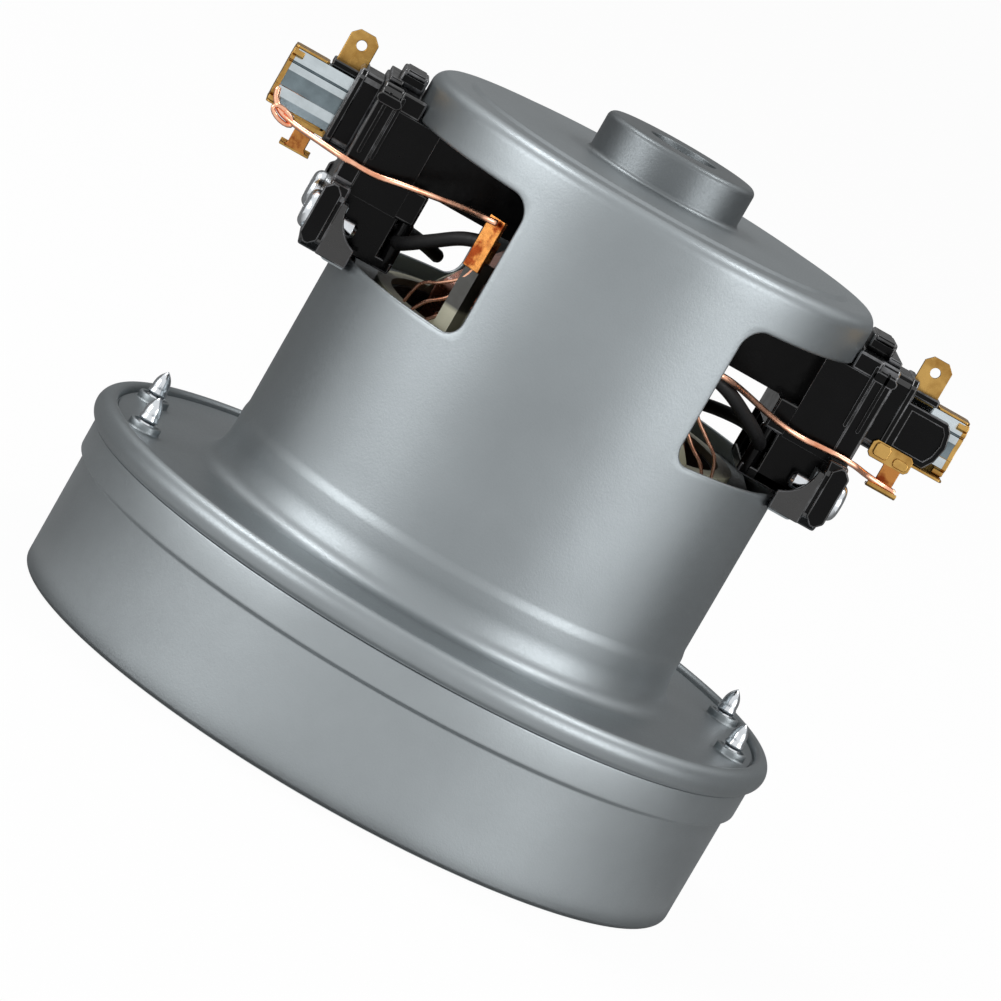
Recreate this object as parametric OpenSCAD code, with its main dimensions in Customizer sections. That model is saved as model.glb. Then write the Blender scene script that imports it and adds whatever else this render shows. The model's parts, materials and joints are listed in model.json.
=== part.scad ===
// Suction motor of a canister vacuum cleaner: a two-pole brushed motor in a drawn steel can, over a
// centrifugal fan in a steel cover. The shaft stands on Z, the brushes lie along X, and z = 0 is the
// face of the fan cover round its inlet.

/* [Motor can] */
// Outer radius of the can wall
can_r = 42.4; // [41.5:0.1:43.5]
// Thickness of the can's sheet
can_t = 1.0; // [0.8:0.1:1.2]
// Height of the crown over the brush axis
crown_rise = 14.3; // [13.7:0.1:15.5]
// Distance from the wall in to the step in the crown
crown_inset = 7.2; // [6.5:0.1:12]
// Drop from the crown's middle to its rim
crown_drop = 0.8; // [0.4:0.1:1.2]
// Radius of the rounded edge between crown and wall
shoulder_r = 5; // [3:0.1:5.5]
// Height of the bearing boss over the crown
boss_h = 7.3; // [6.8:0.1:8]
// Radius of the hole in the boss
boss_hole_r = 6.2; // [5:0.1:7]
// Reach of the flange's rolled bead past the cover's ring
bead_over = 1.5; // [1.1:0.1:2.5]
// Radius of the bead's outer face
bead_r = 2.7; // [2.4:0.1:3]
// Height of the flange's skirt, up to the flange's upper face
skirt_h = 4; // [3.4:0.1:4.4]
// Height over the flange at which the wall begins to widen
flare_h = 10.9; // [9:0.1:12.5]

/* [Windows] */
// Height of a window
window_h = 25.4; // [24.5:0.1:26.4]
// Angle of the wall left between the two windows
web_angle = 58; // [50:1:64]
// Corner radius at the upper edge
window_top_r = 3.8; // [2:0.1:5]
// Corner radius at the lower edge
window_foot_r = 3; // [2:0.1:5]

/* [Fan cover] */
// Thickness of the cover's sheet
cover_t = 0.8; // [0.6:0.1:1]
// Outer radius of the cover's wall
cover_r = 62.4; // [61.9:0.1:62.6]
// Step from the wall out to the wider ring under the seam
ring_step = 1.1; // [0.8:0.1:1.6]
// Height of the ring, from its step up to the seam
ring_h = 6.2; // [5:0.1:8]
// Radius of the rounded bottom corner
corner_r = 2; // [1.2:0.1:3]
// Radius of the inlet eye
eye_r = 18; // [16:0.1:18.6]
// Height of the lip round the inlet eye
eye_lip_h = 4.4; // [2:0.1:4.6]

/* [Shaft and bearings] */
// Diameter of the shaft
shaft_d = 8; // [7.6:0.1:8]
// Length of the shaft past the impeller's nut
shaft_stub = 3.2; // [2:0.1:5]
// Outer diameter of both ball bearings
bearing_d = 22; // [21.6:0.1:22.2]
// Width of both ball bearings
bearing_w = 7; // [7:0.1:7.3]
// Diameter of a bearing ball
ball_d = 3.96; // [3.6:0.01:4]
// Number of balls in a bearing
balls = 7; // [6:1:7]
// Running clearance between a ball and its races
ball_gap = 0.05; // [0.03:0.01:0.08]
// Thickness of the rubber boot round the upper bearing
boot_t = 2.05; // [1.6:0.05:3]

/* [Rotor and stator] */
// Thickness of the stator's ring, before its flats are cut
yoke_t = 10.35; // [9:0.05:11]
// Length of a stator pole, from the ring in to the rotor's bore
pole_h = 10.5; // [9.5:0.1:11]
// Air gap between rotor and stator
air_gap = 0.5; // [0.4:0.05:0.8]
// Height from the flange up to both cores
foot_room = 15; // [14.6:0.1:18]
// Height of both cores
stack_h = 24; // [22:0.1:25]
// Number of rotor slots and commutator bars
slots = 22; // [16:1:24]
// Height of the coil ends past the cores
coil_end_h = 13.5; // [11:0.1:13.8]
// Diameter of the field coil's wire
wire_d = 0.9; // [0.6:0.05:1.1]
// Turns in the field coil's outer layer
coil_turns = 6; // [4:1:6]
// Radius of the commutator bars
comm_r = 12; // [11:0.1:12.5]
// Gap between the rear coil ends and the commutator
comm_gap = 1.5; // [1:0.1:3]
// Height of the commutator
comm_h = 14.5; // [14:0.1:15]

/* [Fan] */
// Distance from the impeller's rim out to the cover's outer face
fan_gap = 7.9; // [7:0.1:12]
// Height of the impeller's back plate
fan_z = 16; // [15.4:0.1:16.2]
// Thickness of the impeller's plates
fan_t = 1; // [0.8:0.1:1.1]
// Gap between the plates at the rim
rim_gap = 5.9; // [5:0.1:7]
// Number of impeller blades
blades = 9; // [7:1:11]
// Number of return vanes in the diffuser
vanes = 14; // [10:1:16]
// Thickness of the diffuser's disc
disc_t = 1.8; // [1.4:0.1:2]
// Reach of the diffuser's disc past the impeller
disc_over = 2.5; // [1.5:0.1:2.8]
// Height of the return vanes
vane_h = 8.1; // [7.4:0.1:10]
// Distance from the cover's outer face in to the flange screws
screw_inset = 4.6; // [4.2:0.1:4.8]
// Major diameter of the flange screws
screw_d = 3.5; // [3:0.1:3.6]

/* [Brushes] */
// Height of the brush axis over the commutator's lower end
brush_rise = 8.1; // [7.6:0.1:9]
// Width of a carbon brush across its tube
brush_w = 6.5; // [6:0.1:6.6]
// Height of a carbon brush
brush_h = 8.3; // [7.6:0.1:8.3]
// Length of a new carbon brush
brush_l = 32; // [28:0.5:34]
// Clearance between brush and tube on each side
brush_gap = 0.08; // [0.05:0.01:0.1]
// Wall of the brush tube
tube_t = 0.7; // [0.5:0.05:0.75]
// Reach of a brush tube past the holder's plate
tube_reach = 14.9; // [14:0.1:16]
// Distance from the can's wall to the outer face of the holder's plate
plate_reach = 6.9; // [6.4:0.1:7.6]
// Reach of the holder's collar round the tube past its plate
collar_reach = 4.5; // [3:0.1:4.6]
// Thickness of the holder's plate
plate_t = 3.7; // [3.3:0.1:3.8]
// Height of the holder's upper edge over the brush axis
holder_rise = 8.2; // [7.7:0.1:9]
// Depth of the holder's lower edge under the window
holder_drop = 1.8; // [1.2:0.1:2.4]
// Distance of a holder screw from the brush axis
holder_screw_y = 13; // [12.8:0.1:13.2]
// Width of a tab terminal
tab_w = 5.2; // [4.8:0.1:5.4]
// Thickness of a tab terminal
tab_t = 0.8; // [0.5:0.1:0.8]
// Height of a tab terminal's end over the brush axis
tab_rise = 12.4; // [11:0.1:14]
// Diameter of the bare copper leads
lead_d = 1.1; // [0.8:0.1:1.3]

/* [Hidden] */
$fn = 64;

// Clearance of a piece pressed into or over another
fit = 0.05;
// Clearance between pieces that only stand beside each other
gap = 0.3;
// Keeps two cuts of one opening from sharing a face
hair = 0.02;

// Heights, from the inlet's face up: fan, diffuser, bracket, flange, cores, commutator, brushes, crown
disc_gap = 1.5;
bracket_t = 1.6;
disc_z0 = fan_z + fan_t + disc_gap;
disc_z1 = disc_z0 + disc_t;
bracket_z0 = disc_z1 + vane_h;
flange_under = bracket_z0 + bracket_t;
flange_z = flange_under + can_t;
skirt_z = flange_z - skirt_h;
stack_z = flange_z + foot_room;
stack_top = stack_z + stack_h;
comm_z = stack_top + coil_end_h + comm_gap;
brush_z = comm_z + brush_rise;
crown_z = brush_z + crown_rise;
boss_z = crown_z + boss_h;

// Radii, from the can's wall in to the rotor, and from the cover's wall in to the fan
can_in = can_r - can_t;
stator_r = can_in - fit;
cavity_r = stator_r - yoke_t;
bore_r = cavity_r - pole_h;
rotor_r = bore_r - air_gap;
ring_r = cover_r + ring_step;
flange_r = ring_r + bead_over;
fan_r = cover_r - fan_gap;
disc_r = fan_r + disc_over;
screw_ring_r = cover_r - screw_inset;

// Brush tube, whose top the window clears
bore_w = brush_w + 2 * brush_gap;
bore_h = brush_h + 2 * brush_gap;
tube_w = bore_w + 2 * tube_t;
tube_h = bore_h + 2 * tube_t;
tube_cut = 1.5;
bore_cut = tube_cut - 0.4;
tube_z0 = brush_z - tube_h / 2;
tube_z1 = brush_z + tube_h / 2;
tube_room = 0.17;

// Can
crown_r = can_r - crown_inset;
boss_r = bearing_d / 2 + boot_t + can_t;
boss_edge = 1.2;
rim_z = crown_z - crown_drop;
shoulder_c = [can_r - shoulder_r, rim_z - shoulder_r];
// The wall widens by a little, then bends out in a wide arc and a narrow one down to the flange
swell = 0.3;
swell_h = 2.2;
flare_r = 12;
flare_a = 17;
foot_fillet = 3.9;
foot_r = can_r + swell + flare_r * (1 - cos(flare_a));
foot_c = [foot_r + foot_fillet * cos(flare_a), flange_z + foot_fillet];
flare_c = [can_r + swell + flare_r, foot_c.y + (flare_r - foot_fillet) * sin(flare_a)];
// The bead rises in a small arc and falls in a wide one, which ends just over the skirt's edge
skirt_r = ring_r + 0.2;
bead_lip = 1;
bead_top_a = 70;
bead_end_a = acos((skirt_r + 0.1 - flange_r + bead_r) / bead_r);
bead_c = [flange_r - bead_r, skirt_z + 0.2 + bead_r * sin(bead_end_a)];
bead_lip_c = bead_c + (bead_r - bead_lip) * [cos(bead_top_a), sin(bead_top_a)];
window_z1 = tube_z1 + tube_room;
window_z0 = window_z1 - window_h;
window_half = 90 - web_angle / 2;
// The window's ends are cut square to the wall there, and the sector between them stops short of their corners
window_end_a = 8;
window_end_w = 14;
// Angles of the flange screws about the shaft, a pair on each side
screw_half_a = 13.8;
screw_angles = [-screw_half_a, screw_half_a, 180 - screw_half_a, 180 + screw_half_a];
collar_h = 1.4;
collar_w = 1.05;
collar_rim = 0.4;

// Cover
lip_r = skirt_r - can_t - 2 * fit;
seam_z = skirt_z - 2 * fit;
eye_bend = 1.2;
ring_z = skirt_z - ring_h;
ring_rise = 0.7;

// Bearing bracket and bearings
bracket_r = lip_r - cover_t - 2 * fit;
cup_wall = 1.5;
cup_r = bearing_d / 2 + cup_wall;
bearing_sink = 1;
lower_bearing_z = flange_under - bearing_sink - bearing_w;
cup_floor_t = 1.2;
boot_top = 0.8;
upper_bearing_z = boss_z - can_t - boot_top - bearing_w;
pitch_r = (shaft_d + bearing_d) / 4;
race_r = ball_d / 2 + ball_gap;
land = 1.4;
shield_t = 0.3;
shaft_r = shaft_d / 2;

// Fan and diffuser
screw_seat_z = disc_z1 + 0.4;
neck_r = eye_r + cover_t + 1.2;
eye_z = 4;
shroud_z = fan_z - rim_gap - fan_t;
clamp_t = 1.2;
clamp_r = 12;
nut_h = 5.6;
nut_across = 13;
nut_z = fan_z - clamp_t - nut_h;
shaft_z0 = nut_z - shaft_stub;
head_h = 2;
screw_tip = 6.2;

// Stator, rotor and coils
yoke_flat = 3.3;
neck_half = 11.5;
shoe_t = 4;
shoe_half_a = 60;
coil_r0 = bore_r + 4.7;
coil_r1 = coil_r0 + 4.2;
coil_half_a = 55;
coil_hole_a = 30;
coil_seat = 1.4;
turn_r = coil_r1 + wire_d / 2 + 0.35;
former_r = cavity_r + 0.3;
former_t = 1.4;
post_r = cavity_r + 4;
post_w = 3;
post_t = 3;
post_z = stack_top + coil_end_h + 1.5;
blade_t = 0.8;
blade_w = 3.4;
blade_h = 9.4;
blade_sink = 1.7;
fold_h = 4;
// Angles of the field terminals about the shaft
left_terminal_a = -127.2;
right_terminal_a = -61;
end_turn_r = rotor_r - 1.5;
slot_c = rotor_r - 4;
slot_r = 0.75 * slot_c * sin(180 / slots);
slot_mouth = 0.7 * slot_r;

// Brushes, tubes and holders, written for the side of +X
tube_x0 = comm_r + 2.6;
plate_x1 = can_r + plate_reach;
tab_x = plate_x1 + 6;
tab_y = -2.4;
plate_x0 = plate_x1 - plate_t;
tube_x1 = plate_x1 + tube_reach;
holder_z0 = window_z0 - holder_drop;
holder_z1 = brush_z + holder_rise;
sleeve_t = 0.8;
block_y = 11;
block_x0 = can_in - 4.4;
block_z0 = brush_z - 11.1;
foot_x0 = block_x0 - 3.4;
foot_h = 5.9;
wing_y = holder_screw_y + 3.5;
wing_z1 = holder_z0 + 12.2;
gusset_t = 1.1;
collar_x1 = plate_x1 + collar_reach;
wall_y0 = tube_w / 2 + 0.1;
wall_y1 = wall_y0 + 2;
collar_y = wall_y1 + 0.1;
collar_z0 = tube_z0 - 1.6;
collar_z1 = tube_z1 + 2.6;
wall_x1 = tube_x1 - 2;
panel_d = 0.5;
shelf_x1 = tab_x + tab_w / 2 + 0.4;
shelf_t = 1.4;
clip_t = 0.8;
strap_t = 0.5;
flap_y = collar_y + 0.2 + strap_t;
hook_z0 = brush_z - 11.6;
flag_x = tube_x1 - 8.9;
flag_w = 8;
flag_z0 = tube_z0 - 2;
flag_z1 = tube_z0 + 1.5;
hook_x = flag_x + 1.2;
hook_w = 5.8;
tab_z1 = brush_z + tab_rise;
ear_w = 4.6;
ear_z1 = holder_z0 + 9.4;
holder_screw_z = holder_z0 + 6;
holder_screw_d = 3;
holder_head_r = 3.5;
brush_back = comm_r + brush_l;
spring_r = 2.6;
spring_wire = 0.6;
spring_turns = 9;
pigtail_r = 0.6;

function arc(c, r, a0, a1, n = 8) =
    [for (i = [0:n]) let (a = a0 + (a1 - a0) * i / n) c + r * [cos(a), sin(a)]];
function unit(v) = v / norm(v);
// A smooth path through the points, with k steps between neighbours
function smooth(p, k = 4) = [
    for (i = [0:len(p) - 2])
        let (a = p[max(i - 1, 0)], b = p[i], c = p[i + 1], d = p[min(i + 2, len(p) - 1)])
        for (j = [0:k - (i == len(p) - 2 ? 0 : 1)])
            let (t = j / k)
            b + t / 2 * (c - a) + t * t / 2 * (2 * a - 5 * b + 4 * c - d)
                + t * t * t / 2 * (3 * b - a - 3 * c + d)
];
// Least clear distance between stretches of a wound path that lie more than `apart` points apart
function least_gap(p, d, apart) =
    min([for (i = [0:len(p) - 1 - apart]) for (j = [i + apart:len(p) - 1]) norm(p[i] - p[j])]) - d;

// A round wire along a path. refs holds a direction for each point that the path never runs along.
module wire(path, r, sides, refs) {
    n = len(path);
    rings = [
        for (i = [0:n - 1])
            let (
                along = unit(path[min(i + 1, n - 1)] - path[max(i - 1, 0)]),
                side = unit(cross(along, refs[i])),
                up = cross(side, along)
            )
            for (k = [0:sides - 1])
                let (a = 360 * k / sides)
                path[i] + r * (cos(a) * side + sin(a) * up)
    ];
    skin = [
        for (i = [0:n - 2], k = [0:sides - 1])
            let (a = i * sides + k, b = i * sides + (k + 1) % sides)
            each [[a, b, a + sides], [b, b + sides, a + sides]]
    ];
    caps = [
        for (k = [1:sides - 2])
            each [[0, k + 1, k], [(n - 1) * sides, (n - 1) * sides + k, (n - 1) * sides + k + 1]]
    ];
    polyhedron(points = rings, faces = concat(skin, caps), convexity = 8);
}

module ring(r0, r1, z0, z1) {
    translate([0, 0, z0]) difference() {
        cylinder(r = r1, h = z1 - z0);
        translate([0, 0, -1]) cylinder(r = r0, h = z1 - z0 + 2);
    }
}

// A stretch of a ring, centred on the direction of +X
module sector(r0, r1, z0, z1, half) {
    rotate([0, 0, -half]) rotate_extrude(angle = 2 * half)
        translate([r0, z0]) square([r1 - r0, z1 - z0]);
}

// Lays an outline drawn in Y and Z along X, from x0 to x1
module along_x(x0, x1) {
    translate([x0, 0, 0]) rotate([90, 0, 90]) linear_extrude(x1 - x0) children();
}

// Lays an outline drawn in X and Z along Y, from y0 to y1
module along_y(y0, y1) {
    translate([0, y1, 0]) rotate([90, 0, 0]) linear_extrude(y1 - y0) children();
}

module at_side(side) {
    rotate([0, 0, side < 0 ? 180 : 0]) children();
}

// Motor can

// A point of the wall's outer line where it widens, from 0 at the top to 1 at the bottom
function swell_point(k) = [can_r + swell * (1 - cos(180 * k)) / 2, flange_z + flare_h - swell_h * k];

module can_profile() {
    polygon(concat(
        [[boss_hole_r, boss_z]],
        arc([boss_r - boss_edge, boss_z - boss_edge], boss_edge, 90, 0),
        arc([boss_r + 1, crown_z + 1], 1, 180, 270),
        [[crown_r, crown_z - 0.2], [crown_r + 0.8, crown_z - crown_drop / 2 - 0.1]],
        arc(shoulder_c, shoulder_r, 90, 0, 12),
        [for (k = [0:6]) swell_point(k / 6)],
        arc(flare_c, flare_r, 180, 180 + flare_a, 4),
        arc(foot_c, foot_fillet, 180 + flare_a, 270),
        arc(bead_lip_c, bead_lip, 180 - asin((flange_z - bead_lip_c.y) / bead_lip), bead_top_a, 5),
        arc(bead_c, bead_r, bead_top_a, -bead_end_a, 12),
        [[skirt_r, skirt_z], [skirt_r - can_t, skirt_z], [skirt_r - can_t, flange_under]],
        arc(foot_c, foot_fillet + can_t, 270, 180 + flare_a),
        arc(flare_c, flare_r + can_t, 180 + flare_a, 180, 4),
        [for (k = [6:-1:0]) swell_point(k / 6) - [can_t, 0]],
        arc(shoulder_c, shoulder_r - can_t, 0, 90, 12),
        [[boss_r - can_t, crown_z - can_t - 0.2], [boss_r - can_t, boss_z - can_t]],
        [[boss_hole_r, boss_z - can_t]]
    ));
}

function window_end_outline(w) = concat(
    [[-w, window_z0]],
    arc([-window_foot_r, window_z0 + window_foot_r], window_foot_r, 270, 360),
    arc([-window_top_r, window_z1 - window_top_r], window_top_r, 0, 90),
    [[-w, window_z1]]
);

module window_cut() {
    sector(can_in - 5, can_r + 5, window_z0 + hair, window_z1 - hair, window_half - window_end_a);
    for (s = [0, 1]) mirror([0, s, 0]) rotate([0, 0, window_half])
        along_x(can_in - 5, can_r + 5) polygon(window_end_outline(window_end_w));
}

// An ear bent out from the window's lower edge, which a holder screw bites into
module can_ear() {
    shelf = plate_x0 - can_in + 6;
    difference() {
        union() {
            translate([can_in - 6, -ear_w / 2, window_z0 - can_t]) cube([shelf, ear_w, can_t]);
            translate([plate_x0 - can_t, -ear_w / 2, window_z0 - can_t])
                cube([can_t, ear_w, ear_z1 - window_z0 + can_t]);
        }
        translate([plate_x0 - 5, 0, holder_screw_z]) rotate([0, 90, 0])
            cylinder(d = holder_screw_d + fit, h = 10);
    }
}

module motor_can() {
    color("#969da0") difference() {
        union() {
            difference() {
                rotate_extrude() can_profile();
                for (side = [-1, 1]) at_side(side) window_cut();
            }
            for (a = screw_angles) rotate([0, 0, a]) translate([screw_ring_r, 0, flange_under])
                cylinder(d = screw_d + 2 * collar_w, h = can_t + collar_h);
            difference() {
                for (side = [-1, 1], s = [-1, 1])
                    at_side(side) translate([0, s * holder_screw_y, 0]) can_ear();
                cylinder(r = can_r - can_t / 2, h = window_z1);
            }
        }
        for (a = screw_angles) rotate([0, 0, a]) translate([screw_ring_r, 0, flange_z]) {
            translate([0, 0, -can_t - 1]) cylinder(d = screw_d + fit, h = can_t + collar_h + 2);
            translate([0, 0, 0.3])
                cylinder(d1 = screw_d + fit, d2 = screw_d + 2 * (collar_w - collar_rim), h = collar_h);
        }
    }
}

// Fan cover and seal

module fan_cover() {
    color("#8f969a") rotate_extrude() polygon(concat(
        [[eye_r, eye_lip_h]],
        arc([eye_r + eye_bend, eye_bend], eye_bend, 180, 270, 6),
        arc([cover_r - corner_r, corner_r], corner_r, 270, 360),
        [[cover_r, ring_z], [ring_r, ring_z + ring_rise], [ring_r, seam_z], [lip_r, seam_z]],
        [[lip_r, flange_under - fit], [lip_r - cover_t, flange_under - fit]],
        [[lip_r - cover_t, seam_z - cover_t], [ring_r - cover_t, seam_z - cover_t]],
        [[ring_r - cover_t, ring_z + ring_rise + 0.3], [cover_r - cover_t, ring_z + 0.3]],
        arc([cover_r - corner_r, corner_r], corner_r - cover_t, 360, 270),
        arc([eye_r + eye_bend, eye_bend], eye_bend - cover_t, 270, 180, 6),
        [[eye_r + cover_t, eye_lip_h]]
    ));
}

module eye_seal() {
    r0 = neck_r + fan_t + 0.4;
    color("#2b2b2d") ring(r0, r0 + 2.2, cover_t, cover_t + 1.8);
}

// Bearing bracket, diffuser and their screws

module bearing_bracket() {
    color("#a3a8aa") difference() {
        union() {
            ring(bearing_d / 2 + fit / 5, bracket_r, bracket_z0, flange_under);
            ring(bearing_d / 2 + fit / 5, cup_r, lower_bearing_z - cup_floor_t, bracket_z0 + 0.5);
            ring(bearing_d / 2 - 3, cup_r, lower_bearing_z - cup_floor_t, lower_bearing_z);
        }
        for (k = [0:3]) rotate([0, 0, 45 + 90 * k])
            sector(cup_r + 3.5, can_r - 0.5, bracket_z0 - 1, flange_under + 1, 33);
        for (a = screw_angles) rotate([0, 0, a]) translate([screw_ring_r, 0, bracket_z0 - 1])
            cylinder(d = screw_d + 4 * fit, h = bracket_t + 2);
    }
}

// Blades of one round bend, each from r0 on one side of the shaft to r1 on the other
module curved_blades(count, t, r0, r1, z0, z1) {
    bend_r = (r0 + r1) / 2;
    shift = (r1 - r0) / 2;
    for (k = [0:count - 1]) rotate([0, 0, 360 * k / count]) translate([0, 0, z0])
        linear_extrude(z1 - z0) intersection() {
            translate([shift, 0]) difference() {
                circle(r = bend_r + t / 2);
                circle(r = bend_r - t / 2);
            }
            translate([-2 * r1, 0]) square([4 * r1, 2 * r1]);
        }
}

module diffuser() {
    color("#1d1d1f") difference() {
        union() {
            ring(cup_r + 0.5, disc_r, disc_z0, disc_z1);
            intersection() {
                curved_blades(vanes, 1.6, cup_r + 2.5, disc_r + 2, disc_z1 - 0.2, bracket_z0 - 0.2);
                ring(cup_r + 3.5, disc_r - 0.5, disc_z1 - 0.3, bracket_z0 - 0.1);
            }
            for (a = screw_angles) rotate([0, 0, a]) translate([screw_ring_r, 0, disc_z0 + 0.5])
                cylinder(r = screw_d / 2 + 1.25, h = bracket_z0 - disc_z0 - 0.5);
            for (a = screw_angles) rotate([0, 0, a])
                translate([disc_r - 5, -1.5, disc_z1 - 0.2]) cube([4, 3, bracket_z0 - disc_z1 - 0.2]);
        }
        for (a = screw_angles) rotate([0, 0, a]) translate([screw_ring_r, 0, 0]) {
            translate([0, 0, disc_z0 - 1]) cylinder(d = screw_d + 4 * fit, h = bracket_z0 - disc_z0 + 2);
            translate([0, 0, disc_z0 - 1]) cylinder(r = screw_d / 2 + 1.5, h = screw_seat_z - disc_z0 + 1);
        }
    }
}

// Head down, from the underside of its head at z = 0, with a bullet-shaped tip
module tapping_screw(length) {
    r = screw_d / 2;
    root = r - 0.35;
    pitch = 1.3;
    tip = 3.4;
    threads = floor((length - tip) / pitch) - 4;
    rotate_extrude() polygon(concat(
        [[0, -head_h]],
        arc([r + 0.95 - 0.8, -head_h + 0.8], 0.8, 270, 360, 5),
        [[r + 0.95, 0], [root, 0]],
        [for (k = [0:threads - 1]) let (z = length - tip - pitch * (threads - k))
            each [[root, z], [r, z + pitch / 2 - 0.1], [r, z + pitch / 2 + 0.1]]],
        [for (k = [0:6]) [(root + 0.1) * (1 - pow(k / 6, 1.8)), length - tip + tip * k / 6]]
    ));
}

module flange_screws() {
    length = flange_z + screw_tip - screw_seat_z;
    color("#c9cdd0") for (a = screw_angles) rotate([0, 0, a])
        translate([screw_ring_r, 0, screw_seat_z]) difference() {
            tapping_screw(length);
            for (b = [0, 90]) rotate([0, 0, b])
                translate([-1.9, -0.35, -head_h - 0.5]) cube([3.8, 0.7, 1.6]);
        }
}

// Stator, formers and field coils

module stator_core() {
    wedge = 2 * cavity_r;
    color("#6f7375") translate([0, 0, stack_z]) linear_extrude(stack_h) difference() {
        union() {
            difference() {
                intersection() {
                    circle(r = stator_r);
                    square([2 * (stator_r - yoke_flat), 4 * stator_r], center = true);
                }
                circle(r = cavity_r);
            }
            intersection() {
                square([2 * neck_half, 2 * cavity_r + 1], center = true);
                circle(r = cavity_r + 0.4);
            }
            for (s = [-1, 1]) intersection() {
                circle(r = bore_r + shoe_t);
                polygon([[0, 0], [wedge, s * wedge / tan(shoe_half_a)], [-wedge, s * wedge / tan(shoe_half_a)]]);
            }
        }
        circle(r = bore_r);
    }
}

// One end insulator, standing on the core's face at z = 0
module former() {
    wall_z = coil_end_h + 0.5;
    dome_r = former_r - 1.3;
    ring(former_r + former_t / 4, former_r + 3, 0, 1.2);
    for (s = [0, 1]) mirror([0, s, 0]) {
        intersection() {
            rotate([0, 0, 90]) sector(former_r, former_r + former_t, 0.5, wall_z, 58);
            translate([0, 0, wall_z - dome_r]) rotate([-90, 0, 0]) cylinder(r = dome_r, h = 50);
        }
        intersection() {
            rotate([0, 0, 90]) sector(former_r + former_t * 0.75, former_r + 2.6, 0.7, wall_z, 50);
            translate([0, 0, wall_z - dome_r - 2]) rotate([-90, 0, 0]) cylinder(r = dome_r - 1, h = 50);
        }
        rotate([0, 0, 90]) sector(bore_r + 0.8, bore_r + 2.2, 0, wall_z - 2, 42);
        intersection() {
            translate([1 - neck_half, bore_r + 1.5, 0]) cube([2 * neck_half - 2, former_r, 1.2]);
            cylinder(r = former_r + former_t / 2, h = 2);
        }
    }
}

module terminal_post(a) {
    rotate([0, 0, a]) {
        translate([former_r + 1, -post_w / 2, stack_top]) cube([post_r + post_t - former_r - 1, post_w, 2.5]);
        translate([post_r, -post_w / 2, stack_top]) cube([post_t, post_w, post_z - stack_top]);
    }
}

module coil_former_upper() {
    color("#d9d3bd") {
        translate([0, 0, stack_top]) former();
        terminal_post(left_terminal_a);
        terminal_post(right_terminal_a);
    }
}

module coil_former_lower() {
    color("#d9d3bd") translate([0, 0, stack_z]) mirror([0, 0, 1]) former();
}

// Runs from -1 to 1 and back, steadily, with a stop at each end
function there_and_back(t) = max(-1, min(1, 1.6 * (4 * abs(t - floor(t) - 0.5) - 1)));

// Path of the coil's outer layer: a flat spiral of turns with cut corners, laid on a cylinder about the shaft
function field_turns(centre_a) = [
    for (i = [0:24 * coil_turns])
        let (
            t = i / 24,
            grow = t / coil_turns,
            half_a = coil_hole_a + 1.5 + grow * (coil_half_a - coil_hole_a - 3),
            half_h = stack_h / 2 + coil_seat + 0.8 + grow * (coil_end_h - coil_seat - 1.8),
            a = centre_a + half_a * there_and_back(t),
            z = stack_z + stack_h / 2 + half_h * there_and_back(t - 0.25)
        )
        [turn_r * cos(a), turn_r * sin(a), z]
];

module field_coil(centre_a) {
    path = field_turns(centre_a);
    z0 = stack_z - coil_end_h;
    z1 = stack_top + coil_end_h;
    rotate([0, 0, centre_a]) difference() {
        sector(coil_r0, coil_r1, z0, z1, coil_half_a);
        sector(coil_r0 - 1, coil_r1 + 1, stack_z - coil_seat, stack_top + coil_seat, coil_hole_a);
    }
    wire(path, wire_d / 2, 6, [for (p = path) [p.x, p.y, 0]]);
}

module field_coil_front() {
    color("#5a3a24") field_coil(-90);
}

module field_coil_rear() {
    color("#5a3a24") field_coil(90);
}

// A brass blade on the outer face of its post, with a folded lug behind it
module field_terminal(a) {
    rotate([0, 0, a]) translate([post_r + post_t, -blade_w / 2, post_z]) {
        translate([0, 0, -blade_sink]) cube([blade_t, blade_w, blade_h]);
        translate([-1.5 * blade_t, 0, gap]) cube([1.5 * blade_t, blade_w, fold_h]);
    }
}

module field_terminal_left() {
    color("#b8893c") field_terminal(left_terminal_a);
}

module field_terminal_right() {
    color("#b8893c") field_terminal(right_terminal_a);
}

// Places on a wire's route: distance out from the can's wall, angle about the shaft, height from the brush axis
function routed(route, k) =
    smooth([for (p = route) [(can_r + p[0]) * cos(p[1]), (can_r + p[0]) * sin(p[1]), brush_z + p[2]]], k);

// Black sleeved leads, from each field terminal back to the rear coil
left_lead_route = [
    [-7.07, -128.1, -4.9], [-5.77, -136.11, -6.7], [-5.39, -144.68, -9.9], [-5.28, -152.4, -12.5],
    [-5.77, -159.88, -14.1], [-7.24, -171.82, -14.5], [-7.47, 175.07, -14.5], [-7.1, 160.13, -14.7],
    [-7.73, 146.77, -15.9], [-8.82, 138.62, -17.1]
];
right_lead_route = [
    [-7.07, -60.68, -5.1], [-6.22, -49.71, -6.9], [-6.32, -36.77, -9.9], [-5.82, -25.93, -12.5],
    [-6.38, -16.12, -14.1], [-7.47, -4.93, -14.5], [-7.37, 6.56, -14.5], [-7.1, 19.87, -14.7],
    [-7.73, 33.23, -15.9], [-8.82, 41.38, -17.1]
];

module sleeved_lead(route) {
    path = routed(route, 3);
    color("#1b1b1c") wire(path, 1.2, 8, [for (p = path) [0, 0, 1]]);
}

module coil_lead_left() {
    sleeved_lead(left_lead_route);
}

module coil_lead_right() {
    sleeved_lead(right_lead_route);
}

// Ball bearings

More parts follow.
